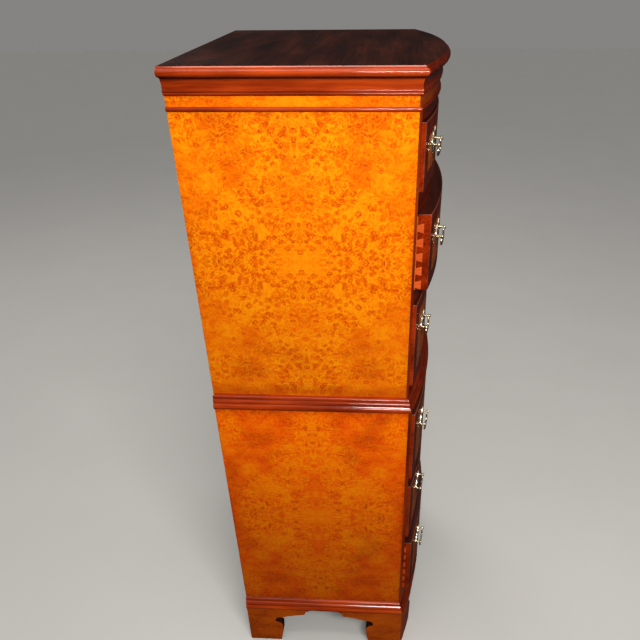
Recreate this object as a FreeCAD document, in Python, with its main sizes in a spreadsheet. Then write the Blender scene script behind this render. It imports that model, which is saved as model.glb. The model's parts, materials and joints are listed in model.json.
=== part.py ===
"""Bow-fronted chest-on-chest: six drawers in two cases that stand one on the other.

Millimetres, +Z up, -Y to the front, X from side to side. Every piece is laid out from the
plane of the case backs (Y = 0) and then moved back, so that the origin lies on the floor
under the middle of the whole piece of furniture.
"""

import FreeCAD, Part
import math
import os
import re

import Sketcher

Vector = FreeCAD.Vector

# Driving sizes

SIZES = {
    # Plan of the two cases
    "upper_width": 560,
    "upper_depth": 415,
    "bow_rise": 45,
    "lower_step": 9,
    "wall": 18,
    "upper_lipping": 4.6,
    "lower_lipping": 7,
    # Heights from the floor up, as the drawer openings and the rails stack
    "foot_height": 140,
    "foot_rail": 76,
    "drawer_6_height": 180,
    "rail_5_6": 24,
    "drawer_5_height": 174,
    "rail_4_5": 24,
    "drawer_4_height": 192,
    "lower_head_rail": 35,
    "upper_base_rail": 35,
    "drawer_3_height": 193,
    "rail_2_3": 32,
    "drawer_2_height": 151,
    "rail_1_2": 38,
    "drawer_1_height": 118,
    "upper_head_rail": 19,
    "frieze_height": 52,
    "top_thickness": 17,
    # Boards and rails inside the cases
    "board_thickness": 16,
    "housing": 6,
    "back_thickness": 10,
    "back_rebate": 8,
    "rail_depth": 55,
    "tenon_length": 8,
    "tenon_width": 30,
    "tenon_setback": 12,
    "runner_width": 22,
    "runner_height": 19,
    # Mouldings and the overhang of the top
    "frieze_bead_height": 7,
    "frieze_bead_reach": 6.5,
    "cornice_height": 27,
    "cornice_reach": 10.4,
    "waist_height": 34,
    "waist_below_split": 17,
    "waist_reach": 16,
    "base_moulding_height": 37,
    "base_moulding_reach": 15,
    "top_overhang_front": 19,
    "top_overhang_side": 26,
    "mitre_reach": 32,
    # Bracket feet
    "foot_proud": 12,
    "foot_thickness": 20,
    "foot_length": 174,
    "rear_bracket_length": 100,
    "block_width": 28,
    "block_lift": 8,
    # Drawers
    "drawer_side_gap": 1,
    "drawer_lift": 0.4,
    "drawer_top_gap": 1.6,
    "drawer_2_pull": 18,
    "drawer_6_pull": 10,
    "upper_face_stand": 7.8,
    "lower_face_stand": 10,
    "face_rise": 34,
    "front_lap": 13,
    "front_land": 14,
    "inner_rise_loss": 3,
    "box_side": 11,
    "box_drop": 4,
    "box_back": 9,
    "box_back_housing": 4,
    "box_rear_gap": 15,
    "bottom_thickness": 6,
    "bottom_height": 8,
    "groove_depth": 4,
    # Lapped dovetails
    "tail_length": 11.5,
    "tail_width": 15.5,
    "tail_flare": 1.6,
    "tail_pitch": 28.8,
    "tail_top_margin": 26,
    "tail_bottom_margin": 10.5,
    # Swan-neck handles
    "handle_spread": 334,
    "post_spacing": 52,
    "post_reach": 10,
    "post_head": 4,
    "post_neck": 2.4,
    "plate_width": 68,
    "plate_height": 50,
    "plate_drop": 22,
    "plate_thickness": 1.3,
    "bail_rod": 2,
    "bail_drop": 20,
    "bail_elbow": 3.5,
    "bail_neck": 7,
    "bail_corner": 6.5,
    "bail_stand_in": 5,
    "bail_pin": 1.6,
    "bail_swing_degrees": 35,
    "pivot_clearance": 0.08,
}

HANDLE_HEIGHT_SHARE = 0.55

# Small rounds are cut as two flats each, and rods and posts have six sides
FLATS_PER_ROUND = 2
ROD_SIDES = 6

# How far the bowed runs and the top's bowed edge are turned before they are cut to length
RUN_SWEEP_DEGREES = 60
TOP_SWEEP_DEGREES = 90

# Profiles, each point as shares of the moulding's reach and height and, where a round leaves
# the point, its radius as a share of the height: positive is round, negative is hollow

FRIEZE_BEAD_SHARES = [(0, 0), (0.55, 0, 0.53), (0.55, 1), (0, 1)]
CORNICE_SHARES = [
    (0, 0), (0.58, 0), (0.58, 0.08), (0.66, 0.095, 0.13), (0.66, 0.345), (0.58, 0.36, -0.74),
    (0.58, 1), (0, 1),
]
WAIST_SHARES = [
    (0.5625, 0, 0.33), (0.78, 0.55, 0.16), (0.45, 0.76, 0.2), (0, 1), (0, 0.5), (0.5625, 0.5),
]
BASE_SHARES = [(0, 0), (1, 0), (1, 0.135, 0.27), (0.64, 0.486, 0.22), (0.27, 0.757, 0.2), (0, 1)]
TOP_FRONT_SHARES = [(0.63, 0), (0.74, 0.18, 0.45), (1, 0.56, 0.5), (0.58, 1)]
TOP_SIDE_SHARES = [(0.6, 0), (0.66, 0.18, 0.47), (1, 0.56, 0.5), (0.77, 1)]

# A bracket foot seen square on, as shares of its length and height
FOOT_SHARES = [
    (0, 0), (0.506, 0), (0.549, 0.27, 1.2), (0.558, 0.5, 0.14), (0.45, 0.6, -0.11),
    (0.49, 0.735), (0.558, 0.745, -1.6), (0.92, 0.85), (0.943, 0.92, -0.09), (1, 0.975), (1, 1),
    (0, 1),
]
REAR_BRACKET_SHARES = [(0, 0), (0.55, 0), (1, 0.8), (1, 1), (0, 1)]

# One half of a handle's plate from its bottom point to its top point, as shares of half its
# width and of its height
PLATE_SHARES = [
    (0, 0), (0.2, 0.14), (0.6, 0.06), (0.84, 0.2), (1, 0.46), (0.92, 0.66), (0.6, 0.84),
    (0.2, 0.82), (0, 1),
]

# Everything that follows from the driving sizes

WORKED = {
    # Levels
    "drawer_6_base": "foot_height + foot_rail",
    "drawer_6_head": "drawer_6_base + drawer_6_height",
    "drawer_5_base": "drawer_6_head + rail_5_6",
    "drawer_5_head": "drawer_5_base + drawer_5_height",
    "drawer_4_base": "drawer_5_head + rail_4_5",
    "drawer_4_head": "drawer_4_base + drawer_4_height",
    "split": "drawer_4_head + lower_head_rail",
    "drawer_3_base": "split + upper_base_rail",
    "drawer_3_head": "drawer_3_base + drawer_3_height",
    "drawer_2_base": "drawer_3_head + rail_2_3",
    "drawer_2_head": "drawer_2_base + drawer_2_height",
    "drawer_1_base": "drawer_2_head + rail_1_2",
    "drawer_1_head": "drawer_1_base + drawer_1_height",
    "upper_head": "drawer_1_head + upper_head_rail",
    "frieze_head": "upper_head + frieze_height",
    "top_head": "frieze_head + top_thickness",
    "base_moulding_head": "foot_height + base_moulding_height",
    "waist_foot": "split - waist_below_split",
    "waist_head": "waist_foot + waist_height",
    "cornice_foot": "frieze_head - cornice_height",
    # Plan: the bow is one arc about one upright axis, stepped out for the lower case
    "upper_half": "upper_width / 2",
    "lower_half": "upper_half + lower_step",
    "upper_radius": "(upper_half ^ 2 + bow_rise ^ 2) / (2 * bow_rise)",
    "lower_radius": "upper_radius + lower_step",
    "bow_axis": "upper_radius - bow_rise - upper_depth",
    "lower_depth": "sqrt(lower_radius ^ 2 - lower_half ^ 2) - bow_axis",
    "upper_open": "upper_half - wall",
    "lower_open": "lower_half - wall",
    "upper_rail_front": "sqrt(upper_radius ^ 2 - upper_open ^ 2) - bow_axis",
    "lower_rail_front": "sqrt(lower_radius ^ 2 - lower_open ^ 2) - bow_axis",
    "upper_rail_back": "upper_depth - rail_depth",
    "lower_rail_back": "lower_depth - rail_depth",
    "upper_mitre_depth":
        "sqrt((upper_radius + mitre_reach) ^ 2 - (upper_half + mitre_reach) ^ 2) - bow_axis",
    "lower_mitre_depth":
        "sqrt((lower_radius + mitre_reach) ^ 2 - (lower_half + mitre_reach) ^ 2) - bow_axis",
    "front_limit": "upper_depth + bow_rise + 4 * mitre_reach",
    # Drawer faces are a little flatter than the bow of the case
    "face_radius": "(upper_open ^ 2 + face_rise ^ 2) / (2 * face_rise)",
    "upper_face_half": "upper_open - drawer_side_gap",
    "lower_face_half": "lower_open - drawer_side_gap",
    "upper_face_corner": "upper_rail_front + upper_face_stand",
    "lower_face_corner": "lower_rail_front + lower_face_stand",
    "upper_face_axis": "sqrt(face_radius ^ 2 - upper_face_half ^ 2) - upper_face_corner",
    "lower_face_axis": "sqrt(face_radius ^ 2 - lower_face_half ^ 2) - lower_face_corner",
    "inner_radius": "face_radius + inner_rise_loss",
    "front_end": "front_lap + tail_length",
    "box_rear": "back_thickness + box_rear_gap",
    # Handles stand square to the bowed face
    "post_half": "post_spacing / 2",
    "handle_turn": "asin(handle_spread / (2 * face_radius))",
    "post_out": "face_radius + post_reach",
    "plate_out": "face_radius + plate_thickness",
    "bail_bend_start": "post_half - bail_stand_in",
    "bail_upright": "bail_bend_start - bail_elbow",
    "neck_width": "bail_upright + bail_neck * (1 - cos(bail_swing_degrees))",
    "neck_depth": "bail_elbow + bail_neck * sin(bail_swing_degrees)",
    "neck_fall": "bail_drop - neck_depth - bail_corner * (1 + sin(bail_swing_degrees))",
    "neck_run": "neck_fall / cos(bail_swing_degrees)",
    "shoulder_width": "neck_width + neck_run * sin(bail_swing_degrees)",
    "grip_half": "shoulder_width - bail_corner * cos(bail_swing_degrees)",
    # The origin is under the middle of the whole depth, from the backs to the foremost post
    "foremost_post":
        "(post_out + post_head) * cos(handle_turn) + (post_half + post_head) * sin(handle_turn)",
    "foremost_2": "foremost_post - upper_face_axis + drawer_2_pull",
    "foremost_6": "foremost_post - lower_face_axis + drawer_6_pull",
    "middle": "max(foremost_2; foremost_6) / 2",
}

document = FreeCAD.newDocument("chest_on_chest")
sizes = document.addObject("Spreadsheet::Sheet", "sizes")
worked = document.addObject("Spreadsheet::Sheet", "worked")


def bound(text):
    """Writes an expression on named sizes as one that the document can follow."""

    def place(match):
        word = match.group(0)
        if word in SIZES:
            return "sizes." + word
        return "worked." + word if word in WORKED else word

    return re.sub(r"[a-z][a-z_0-9]*", place, str(text))


def value(text):
    """The present value of an expression on named sizes."""
    result = sizes.evalExpression(bound(text))
    return float(getattr(result, "Value", result))


def fill_sheets():
    """Writes the driving sizes, and below them what follows from them, as named cells."""
    for row, (name, number) in enumerate(SIZES.items(), start=1):
        sizes.set(f"A{row}", name)
        sizes.set(f"B{row}", str(number))
        sizes.setAlias(f"B{row}", name)
    sizes.recompute()
    for row, (name, text) in enumerate(WORKED.items(), start=1):
        worked.set(f"A{row}", name)
        worked.set(f"B{row}", "=" + bound(text))
        worked.setAlias(f"B{row}", name)
        worked.recompute()
    document.recompute()


def tie(thing, path, text):
    """Binds one property of an object to an expression on named sizes."""
    thing.setExpression(path, bound(text))


# Outlines in sketches

def arc_centre(start, end, radius):
    """The centre of the short arc between two points: a positive radius swells to the right."""
    chord = end - start
    side = Vector(-chord.y, chord.x, 0).normalize() * math.copysign(1, radius)
    return (start + end) / 2 + side * math.sqrt(radius ** 2 - chord.Length ** 2 / 4)


def flats(shares, width, height):
    """A table of shares with each of its rounds drawn as a few flats."""
    wide, high = value(width), value(height)
    points = []
    for index, point in enumerate(shares):
        points.append(point[:2])
        if len(point) == 2:
            continue
        following = shares[(index + 1) % len(shares)]
        start = Vector(point[0] * wide, point[1] * high, 0)
        end = Vector(following[0] * wide, following[1] * high, 0)
        radius = point[2] * high
        centre = arc_centre(start, end, radius)
        sweep = 2 * math.degrees(math.asin((end - start).Length / 2 / abs(radius)))
        for step in range(1, FLATS_PER_ROUND):
            turn = math.copysign(sweep * step / FLATS_PER_ROUND, radius)
            place = centre + FreeCAD.Rotation(Vector(0, 0, 1), turn).multVec(start - centre)
            points.append((round(place.x / wide, 4), round(place.y / high, 4)))
    return points


def draw(sketch, corners, closed=True):
    """Draws lines and arcs through corners, each (x, y) or (x, y, radius of the arc that
    leaves it): a positive radius swells to the right of the way the outline runs."""
    count = len(corners)
    edges = count if closed else count - 1
    ends = []
    for index in range(edges):
        here, there = corners[index], corners[(index + 1) % count]
        start = Vector(value(here[0]), value(here[1]), 0)
        end = Vector(value(there[0]), value(there[1]), 0)
        if len(here) == 2:
            sketch.addGeometry(Part.LineSegment(start, end), False)
            ends.append((1, 2))
            continue
        radius = value(here[2])
        centre = arc_centre(start, end, radius)
        first = start if radius > 0 else end
        begin = math.atan2(first.y - centre.y, first.x - centre.x)
        sweep = 2 * math.asin((end - start).Length / 2 / abs(radius))
        circle = Part.Circle(centre, Vector(0, 0, 1), abs(radius))
        sketch.addGeometry(Part.ArcOfCircle(circle, begin, begin + sweep), False)
        ends.append((1, 2) if radius > 0 else (2, 1))
        pin(sketch, ("Radius", index), f"abs({here[2]})", f"round_{index}")
    for index in range(edges - 1 + closed):
        following = (index + 1) % edges
        sketch.addConstraint(Sketcher.Constraint(
            "Coincident", index, ends[index][1], following, ends[following][0]))
    for index in range(edges):
        pin(sketch, ("DistanceX", -1, 1, index, ends[index][0]), corners[index][0], f"across_{index}")
        pin(sketch, ("DistanceY", -1, 1, index, ends[index][0]), corners[index][1], f"along_{index}")
    if not closed:
        last = edges - 1
        pin(sketch, ("DistanceX", -1, 1, last, ends[last][1]), corners[-1][0], "across_end")
        pin(sketch, ("DistanceY", -1, 1, last, ends[last][1]), corners[-1][1], "along_end")


def pin(sketch, what, text, name):
    """Adds one driving constraint and binds it to its expression."""
    index = sketch.addConstraint(Sketcher.Constraint(*what, value(text)))
    sketch.renameConstraint(index, name)
    tie(sketch, "Constraints." + name, text)


def start_body(name, x=0, y=0, z=0, turn=0):
    """An empty body placed by expressions and turned about its own upright axis."""
    body = document.addObject("PartDesign::Body", name)
    body.Placement.Rotation = FreeCAD.Rotation(Vector(0, 0, 1), value(turn))
    for axis, text in zip("xyz", (x, y, z)):
        tie(body, f"Placement.Base.{axis}", text)
    if turn != 0:
        tie(body, "Placement.Rotation.Angle", turn)
    return body


def start_sketch(body, plane, lift=0):
    """A sketch on one of the body's own origin planes, lifted along the plane's normal."""
    sketch = body.newObject("Sketcher::SketchObject", body.Name + "_outline")
    support = [item for item in body.Origin.OriginFeatures if item.Role == plane][0]
    sketch.AttachmentSupport = [(support, "")]
    sketch.MapMode = "FlatFace"
    tie(sketch, "AttachmentOffset.Base.z", lift)
    return sketch


def padded(name, plane, corners, thickness, lift=0, **place):
    """A body padded from one closed outline."""
    body = start_body(name, **place)
    sketch = start_sketch(body, plane, lift)
    draw(sketch, corners)
    pad = body.newObject("PartDesign::Pad", name + "_pad")
    pad.Profile = sketch
    tie(pad, "Length", thickness)
    return body


def revolved(name, plane, corners, degrees, **place):
    """A body turned from one closed outline about the outline's own upright axis."""
    body = start_body(name, **place)
    sketch = start_sketch(body, plane)
    draw(sketch, corners)
    turned = body.newObject("PartDesign::Revolution", name + "_turned")
    turned.Profile = sketch
    turned.ReferenceAxis = (sketch, ["V_Axis"])
    turned.Angle = degrees
    turned.Midplane = degrees < 360
    return body


# Solids and how they are joined

def board(name, low, high):
    """A plain board between two corners, each three expressions."""
    box = document.addObject("Part::Box", name)
    for axis, side, start, end in zip("xyz", ("Length", "Width", "Height"), low, high):
        tie(box, side, f"({end}) - ({start})")
        tie(box, f"Placement.Base.{axis}", start)
    return box


def cylinder(name, radius, height, x=0, y=0, z=0):
    """An upright cylinder on the centre of its foot."""
    round_bar = document.addObject("Part::Cylinder", name)
    tie(round_bar, "Radius", radius)
    tie(round_bar, "Height", height)
    for axis, text in zip("xyz", (x, y, z)):
        tie(round_bar, f"Placement.Base.{axis}", text)
    return round_bar


def cut(base, tool):
    """What is left of the base once the tool is taken out of it."""
    result = document.addObject("Part::Cut", base.Name + "_cut")
    result.Base = base
    result.Tool = tool
    return result


def common(base, tool):
    """What the base and the tool share."""
    result = document.addObject("Part::Common", base.Name + "_kept")
    result.Base = base
    result.Tool = tool
    return result


def group(name, members):
    """Several solids kept side by side as one object."""
    result = document.addObject("Part::Compound", name)
    result.Links = members
    return result


def mirrored(source, normal=Vector(1, 0, 0)):
    """The source's twin on the other side of the middle, or of another plane through zero."""
    result = document.addObject("Part::Mirroring", source.Name + "_mirrored")
    result.Source = source
    result.Normal = normal
    return result


def node(name, members, pull=0):
    """One named sub-part: its solids, moved to the origin's place and pulled forward."""
    result = group(name, members)
    result.Label = name
    tie(result, "Placement.Base.y", f"middle - {pull}")
    nodes.append(result)


# Case work

def mitre_tool(case):
    """The region in front of the mitres at both front corners of a case."""
    half, depth, outer = f"{case}_half", f"{case}_depth", f"{case}_mitre_depth"
    wide = f"{half} + mitre_reach"
    narrow = f"{half} - mitre_reach"
    inner = f"2 * {depth} - {outer}"
    corners = [
        (f"-({narrow})", f"-({inner})"), (f"-({wide})", f"-{outer}"), (f"-({wide})", "-front_limit"),
        (wide, "-front_limit"), (wide, f"-{outer}"), (narrow, f"-({inner})"),
    ]
    return padded(f"{case}_mitre", "XY_Plane", corners, "top_head")


def run_of(name, case, corners, mitre):
    """A bowed front run with a straight return down each side, mitred at the corners.
    The corners are (reach from the face of the case, height)."""

    def section(start):
        return [(f"{start} + {reach}", level) for reach, level in corners]

    front = revolved(
        f"{name}_front", "YZ_Plane", section(f"{case}_radius"), RUN_SWEEP_DEGREES, y="bow_axis", turn=180)
    side = padded(f"{name}_side", "XZ_Plane", section(f"{case}_half"), "front_limit")
    side_run = cut(side, mitre)
    return [common(front, mitre), side_run, mirrored(side_run)]


def profile(shares, reach, foot, height, inset=0):
    """A moulding's corners from its table of shares."""
    return [
        (f"{out} * {reach} - {inset}", f"{foot} + {up} * {height}")
        for out, up in flats(shares, reach, height)
    ]


def rail(name, case, foot, head):
    """A bowed drawer rail with a stub tenon into each side."""
    half, end = f"{case}_open", f"{case}_open + tenon_length"
    front, back, depth = f"-{case}_rail_front", f"-{case}_rail_back", f"{case}_depth"
    tenon_front = f"tenon_setback - {depth}"
    tenon_back = f"tenon_setback + tenon_width - {depth}"
    right = [
        (half, front), (half, tenon_front), (end, tenon_front), (end, tenon_back),
        (half, tenon_back), (half, back),
    ]
    left = [(f"-({x})", y) for x, y in reversed(right)]
    left[-1] += (f"{case}_radius",)
    return padded(name, "XY_Plane", right + left, f"{head} - {foot}", z=foot)


def runners(case, level, drawer):
    """The pair of runners that carry one drawer, housed in the sides and in the rail's line."""
    pair = board(
        f"runner_{drawer}",
        (f"{case}_open - runner_width", f"-{case}_rail_back", f"{level} - runner_height"),
        (f"{case}_open + housing", "-back_thickness", level),
    )
    return [pair, mirrored(pair)]


def case_work(case, foot, head, drawers, rail_spans, board_feet, lipping_span):
    """One carcase: sides with their front lippings, back, two boards, rails and runners.
    The sides take out of themselves whatever is housed in them."""
    half, opening, depth = f"{case}_half", f"{case}_open", f"{case}_depth"
    rails = [
        rail(f"{case}_rail_{index}", case, low, high)
        for index, (low, high) in enumerate(rail_spans, start=1)
    ]
    carriers = []
    for drawer in drawers:
        carriers += runners(case, f"drawer_{drawer}_base", drawer)
    boards = [
        board(
            f"{case}_board_{index}",
            (f"-({opening} + housing)", f"-{case}_rail_back", low),
            (f"{opening} + housing", "-back_thickness", f"{low} + board_thickness"),
        )
        for index, low in enumerate(board_feet, start=1)
    ]
    back = board(
        f"{case}_back_board",
        (f"-({opening} + back_rebate)", "-back_thickness", foot),
        (f"{opening} + back_rebate", 0, head),
    )
    panel = board(f"{case}_panel", (opening, f"-{depth}", foot), (half, 0, head))
    housed = cut(panel, group(f"{case}_housed", rails + carriers + boards + [back]))
    lipping = board(
        f"{case}_edge",
        (opening, f"-({depth} + {case}_lipping)", lipping_span[0]),
        (half, f"-{depth}", lipping_span[1]),
    )
    node(f"{case}_side_right", [housed, lipping])
    node(f"{case}_side_left", [mirrored(housed), mirrored(lipping)])
    node(f"{case}_back", [back])
    node(f"{case}_bottom", boards[:1])
    node(f"{case}_top", boards[1:])
    node(f"{case}_rails", rails)
    node(f"{case}_runners", carriers)


# Feet

def bracket_corners(shares, start, length):
    """A bracket's outline, from the outer corner of its foot inwards."""
    return [
        (f"{start} + {along} * {length}", f"{up} * foot_height")
        for along, up in flats(shares, length, "foot_height")
    ]


def feet(mitre):
    """Four ogee bracket feet, each of two brackets and a glue block behind them."""
    outer = "lower_half + foot_proud"
    inner = f"{outer} - foot_thickness"
    face = "lower_radius + foot_proud"
    corner_depth = f"sqrt(({face}) ^ 2 - ({outer}) ^ 2) - bow_axis"
    side = padded(
        "foot_side", "YZ_Plane", bracket_corners(FOOT_SHARES, 0, "foot_length"), "foot_thickness",
        x=f"-({outer})", y=f"-({corner_depth})",
    )
    front_side = cut(side, mitre)
    rear_plain = padded(
        "foot_rear_side", "YZ_Plane", bracket_corners(FOOT_SHARES, 0, "foot_length"),
        "foot_thickness", x=f"-({outer})",
    )
    rear_side = mirrored(rear_plain, Vector(0, 1, 0))
    bracket = padded(
        "foot_front", "XZ_Plane", bracket_corners(FOOT_SHARES, f"-({outer})", "foot_length"),
        "front_limit",
    )
    within = cylinder("foot_inner_bow", f"{face} - foot_thickness", "foot_height", y="bow_axis")
    without = cylinder("foot_outer_bow", face, "foot_height", y="bow_axis")
    front = common(common(cut(bracket, within), without), mitre)
    front_block = common(
        board(
            "front_block",
            (f"-({inner})", f"-({corner_depth})", "block_lift"),
            (f"block_width - ({inner})", f"block_width + foot_thickness - ({corner_depth})", "foot_height"),
        ),
        within,
    )
    rear_corners = bracket_corners(REAR_BRACKET_SHARES, f"-({inner})", "rear_bracket_length")
    rear = padded("foot_rear", "XZ_Plane", rear_corners, "foot_thickness")
    rear_block = board(
        "rear_block",
        (f"-({inner})", "-(foot_thickness + block_width)", "block_lift"),
        (f"block_width - ({inner})", "-foot_thickness", "foot_height"),
    )
    for end, pieces in (
        ("front", [front_side, front, front_block]), ("rear", [rear_side, rear, rear_block]),
    ):
        node(f"foot_{end}_left", pieces)
        node(f"foot_{end}_right", [mirrored(piece) for piece in pieces])


# Drawers

def drawer_pieces(drawer, case):
    """The front, the box and the bottom of one drawer, which cut their own joints."""
    half, corner = f"{case}_face_half", f"{case}_face_corner"
    base = f"drawer_{drawer}_base + drawer_lift"
    height = f"drawer_{drawer}_height - drawer_lift - drawer_top_gap"
    land = f"{half} - front_land"
    shoulder = f"{corner} - front_end"
    side_height = f"{height} - box_drop"
    side_inner = f"{half} - box_side"

    front = padded(
        f"drawer_{drawer}_board", "XY_Plane",
        [
            (f"-{half}", f"-{corner}", "face_radius"), (half, f"-{corner}"), (half, f"-({shoulder})"),
            (land, f"-({shoulder})", "-inner_radius"), (f"-({land})", f"-({shoulder})"),
            (f"-{half}", f"-({shoulder})"),
        ],
        height, z=base,
    )
    tongue = f"{shoulder} + groove_depth"
    panel_half = f"{side_inner} + groove_depth"
    bottom = padded(
        f"drawer_{drawer}_panel", "XY_Plane",
        [
            (f"-({panel_half})", f"-({shoulder})"), (f"-({land})", f"-({shoulder})"),
            (f"-({land})", f"-({tongue})", "inner_radius"), (land, f"-({tongue})"),
            (land, f"-({shoulder})"), (panel_half, f"-({shoulder})"),
            (panel_half, "-box_rear"), (f"-({panel_half})", "-box_rear"),
        ],
        "bottom_thickness", z=f"{base} + bottom_height",
    )
    back = board(
        f"drawer_{drawer}_tail_board",
        (f"-({side_inner} + box_back_housing)", "-(box_rear + 2 * box_back)",
         f"{base} + bottom_height + bottom_thickness"),
        (f"{side_inner} + box_back_housing", "-(box_rear + box_back)", f"{base} + {side_height}"),
    )
    side = padded(
        f"drawer_{drawer}_cheek", "YZ_Plane",
        tailed_outline(drawer, height, side_height, shoulder), "box_side", x=side_inner, z=base,
    )
    side_housed = cut(side, group(f"drawer_{drawer}_housed", [bottom, back]))
    sockets = group(f"drawer_{drawer}_sockets", [side, mirrored(side), bottom])
    return cut(front, sockets), [side_housed, mirrored(side_housed), back], bottom


def tailed_outline(drawer, height, side_height, shoulder):
    """A drawer side seen square on, with a row of tails along its front end."""
    span = f"({height} - tail_top_margin - tail_bottom_margin)"
    spaces = max(1, round(value(f"{span} / tail_pitch")))
    root, tip = "(tail_width / 2 - tail_flare)", "(tail_width / 2 + tail_flare)"
    reach = f"-({shoulder} + tail_length)"
    corners = [
        (f"-({shoulder})", 0), ("-box_rear", 0), ("-box_rear", side_height),
        (f"-({shoulder})", side_height),
    ]
    for index in range(spaces, -1, -1):
        centre = f"(tail_bottom_margin + {span} * {index} / {spaces})"
        corners += [
            (f"-({shoulder})", f"{centre} + {root}"), (reach, f"{centre} + {tip}"),
            (reach, f"{centre} - {tip}"), (f"-({shoulder})", f"{centre} - {root}"),
        ]
    return corners


# Handles

def plate_corners():
    """A plate's outline: the right half upwards, then its mirror image downwards."""
    right = [
        (f"{across} * plate_width / 2", f"{up} * plate_height - plate_drop")
        for across, up in PLATE_SHARES
    ]
    left = [(f"-({across})", up) for across, up in reversed(right[1:-1])]
    return right + left


def ring(body, plane, across, along, radius, lift=0):
    """A six-sided outline about a point in one of the body's own planes."""
    sketch = start_sketch(body, plane, lift)
    draw(sketch, [
        (f"{across} + ({radius}) * cos({360 * step / ROD_SIDES})",
         f"{along} + ({radius}) * sin({360 * step / ROD_SIDES})")
        for step in range(ROD_SIDES)
    ])
    return sketch


def post(drawer, name, place, bore):
    """A six-sided post, neck and head, standing out from the plate and bored for the bail."""
    body = start_body(f"post_{name}_{drawer}", **place)
    for part, radius, start, length in (
        ("neck", "post_neck", "plate_out", "post_reach - plate_thickness"),
        ("head", "post_head", "post_out - post_head", "2 * post_head"),
    ):
        pad = body.newObject("PartDesign::Pad", f"{part}_{name}_{drawer}")
        pad.Profile = ring(body, "XZ_Plane", 0, 0, radius, start)
        tie(pad, "Length", length)
    return cut(body, bore)


def handle(drawer, case):
    """The right-hand handle of a drawer: its plate, its two bored posts and its bail."""
    axis = f"{case}_face_axis"
    level = f"drawer_{drawer}_base + {HANDLE_HEIGHT_SHARE} * drawer_{drawer}_height"
    place = {"y": axis, "z": level, "turn": "handle_turn"}
    plate = padded(
        f"plate_{drawer}", "XZ_Plane", plate_corners(), "plate_thickness", lift="face_radius", **place)
    bore = start_body(f"bore_{drawer}", **place)
    bored = bore.newObject("PartDesign::Pad", f"bore_{drawer}_pad")
    clear = f"bail_rod / cos({180 / ROD_SIDES}) + pivot_clearance"
    bored.Profile = ring(bore, "YZ_Plane", "-post_out", 0, clear, "-(post_half + bail_pin)")
    tie(bored, "Length", "2 * (post_half + bail_pin)")
    posts = [
        post(drawer, name, {
            "x": f"{side} * post_half * cos(handle_turn)",
            "y": f"{axis} + {side} * post_half * sin(handle_turn)",
            "z": level, "turn": "handle_turn",
        }, bore)
        for name, side in (("inner", -1), ("outer", 1))
    ]
    return [plate] + posts, bail(drawer, place)


def bail(drawer, place):
    """A swan-neck bail: a six-sided rod from pin to pin, with its bends in short flats."""
    body = start_body(f"bail_{drawer}", **place)
    path = start_sketch(body, "XZ_Plane", "post_out")
    right = [("post_half + bail_pin", 0)]
    steps = [step / FLATS_PER_ROUND for step in range(FLATS_PER_ROUND + 1)]
    right += [
        (f"bail_bend_start - bail_elbow * sin({90 * step})", f"-bail_elbow * (1 - cos({90 * step}))")
        for step in steps
    ]
    right.append(("neck_width", "-neck_depth"))
    turns = [f"(bail_swing_degrees - (90 + bail_swing_degrees) * {step})" for step in steps]
    right += [
        (f"grip_half + bail_corner * cos{turn}", f"bail_corner * (1 + sin{turn}) - bail_drop")
        for turn in turns
    ]
    draw(path, right + [(f"-({x})", z) for x, z in reversed(right)], closed=False)
    end = ring(body, "YZ_Plane", "-post_out", 0, "bail_rod", "post_half + bail_pin")
    document.recompute()
    pipe = body.newObject("PartDesign::AdditivePipe", f"bail_{drawer}_rod")
    pipe.Profile = end
    pipe.Spine = (path, [f"Edge{index + 1}" for index in range(path.GeometryCount)])
    pipe.Transition = "Right corner"
    return body


def drawer_assembly(drawer, case, pull):
    """Every node of one drawer, which may stand a little open."""
    front, box, bottom = drawer_pieces(drawer, case)
    mounts, swing = handle(drawer, case)
    node(f"drawer_{drawer}_front", [front], pull)
    node(f"drawer_{drawer}_box", box, pull)
    node(f"drawer_{drawer}_bottom", [bottom], pull)
    node(f"drawer_{drawer}_handle_mounts", mounts + [mirrored(piece) for piece in mounts], pull)
    node(f"drawer_{drawer}_bail_right", [swing], pull)
    node(f"drawer_{drawer}_bail_left", [mirrored(swing)], pull)


# Frieze, cornice and top

def top_board():
    """One board whose front edge follows the bow and whose ends overhang the sides."""
    foot, height = "frieze_head", "top_thickness"
    edge = profile(TOP_FRONT_SHARES, "top_overhang_front", foot, height, "-upper_radius")
    front = [("bow_axis", "frieze_head")] + edge + [("bow_axis", "top_head")]
    swept = revolved("top_bowed", "YZ_Plane", front, TOP_SWEEP_DEGREES, y="bow_axis", turn=180)
    right = profile(TOP_SIDE_SHARES, "top_overhang_side", foot, height, "-upper_half")
    left = [(f"-({across})", up) for across, up in reversed(right)]
    straight = padded("top_straight", "XZ_Plane", right + left, "front_limit")
    node("top_board", [common(swept, straight)])


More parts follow.
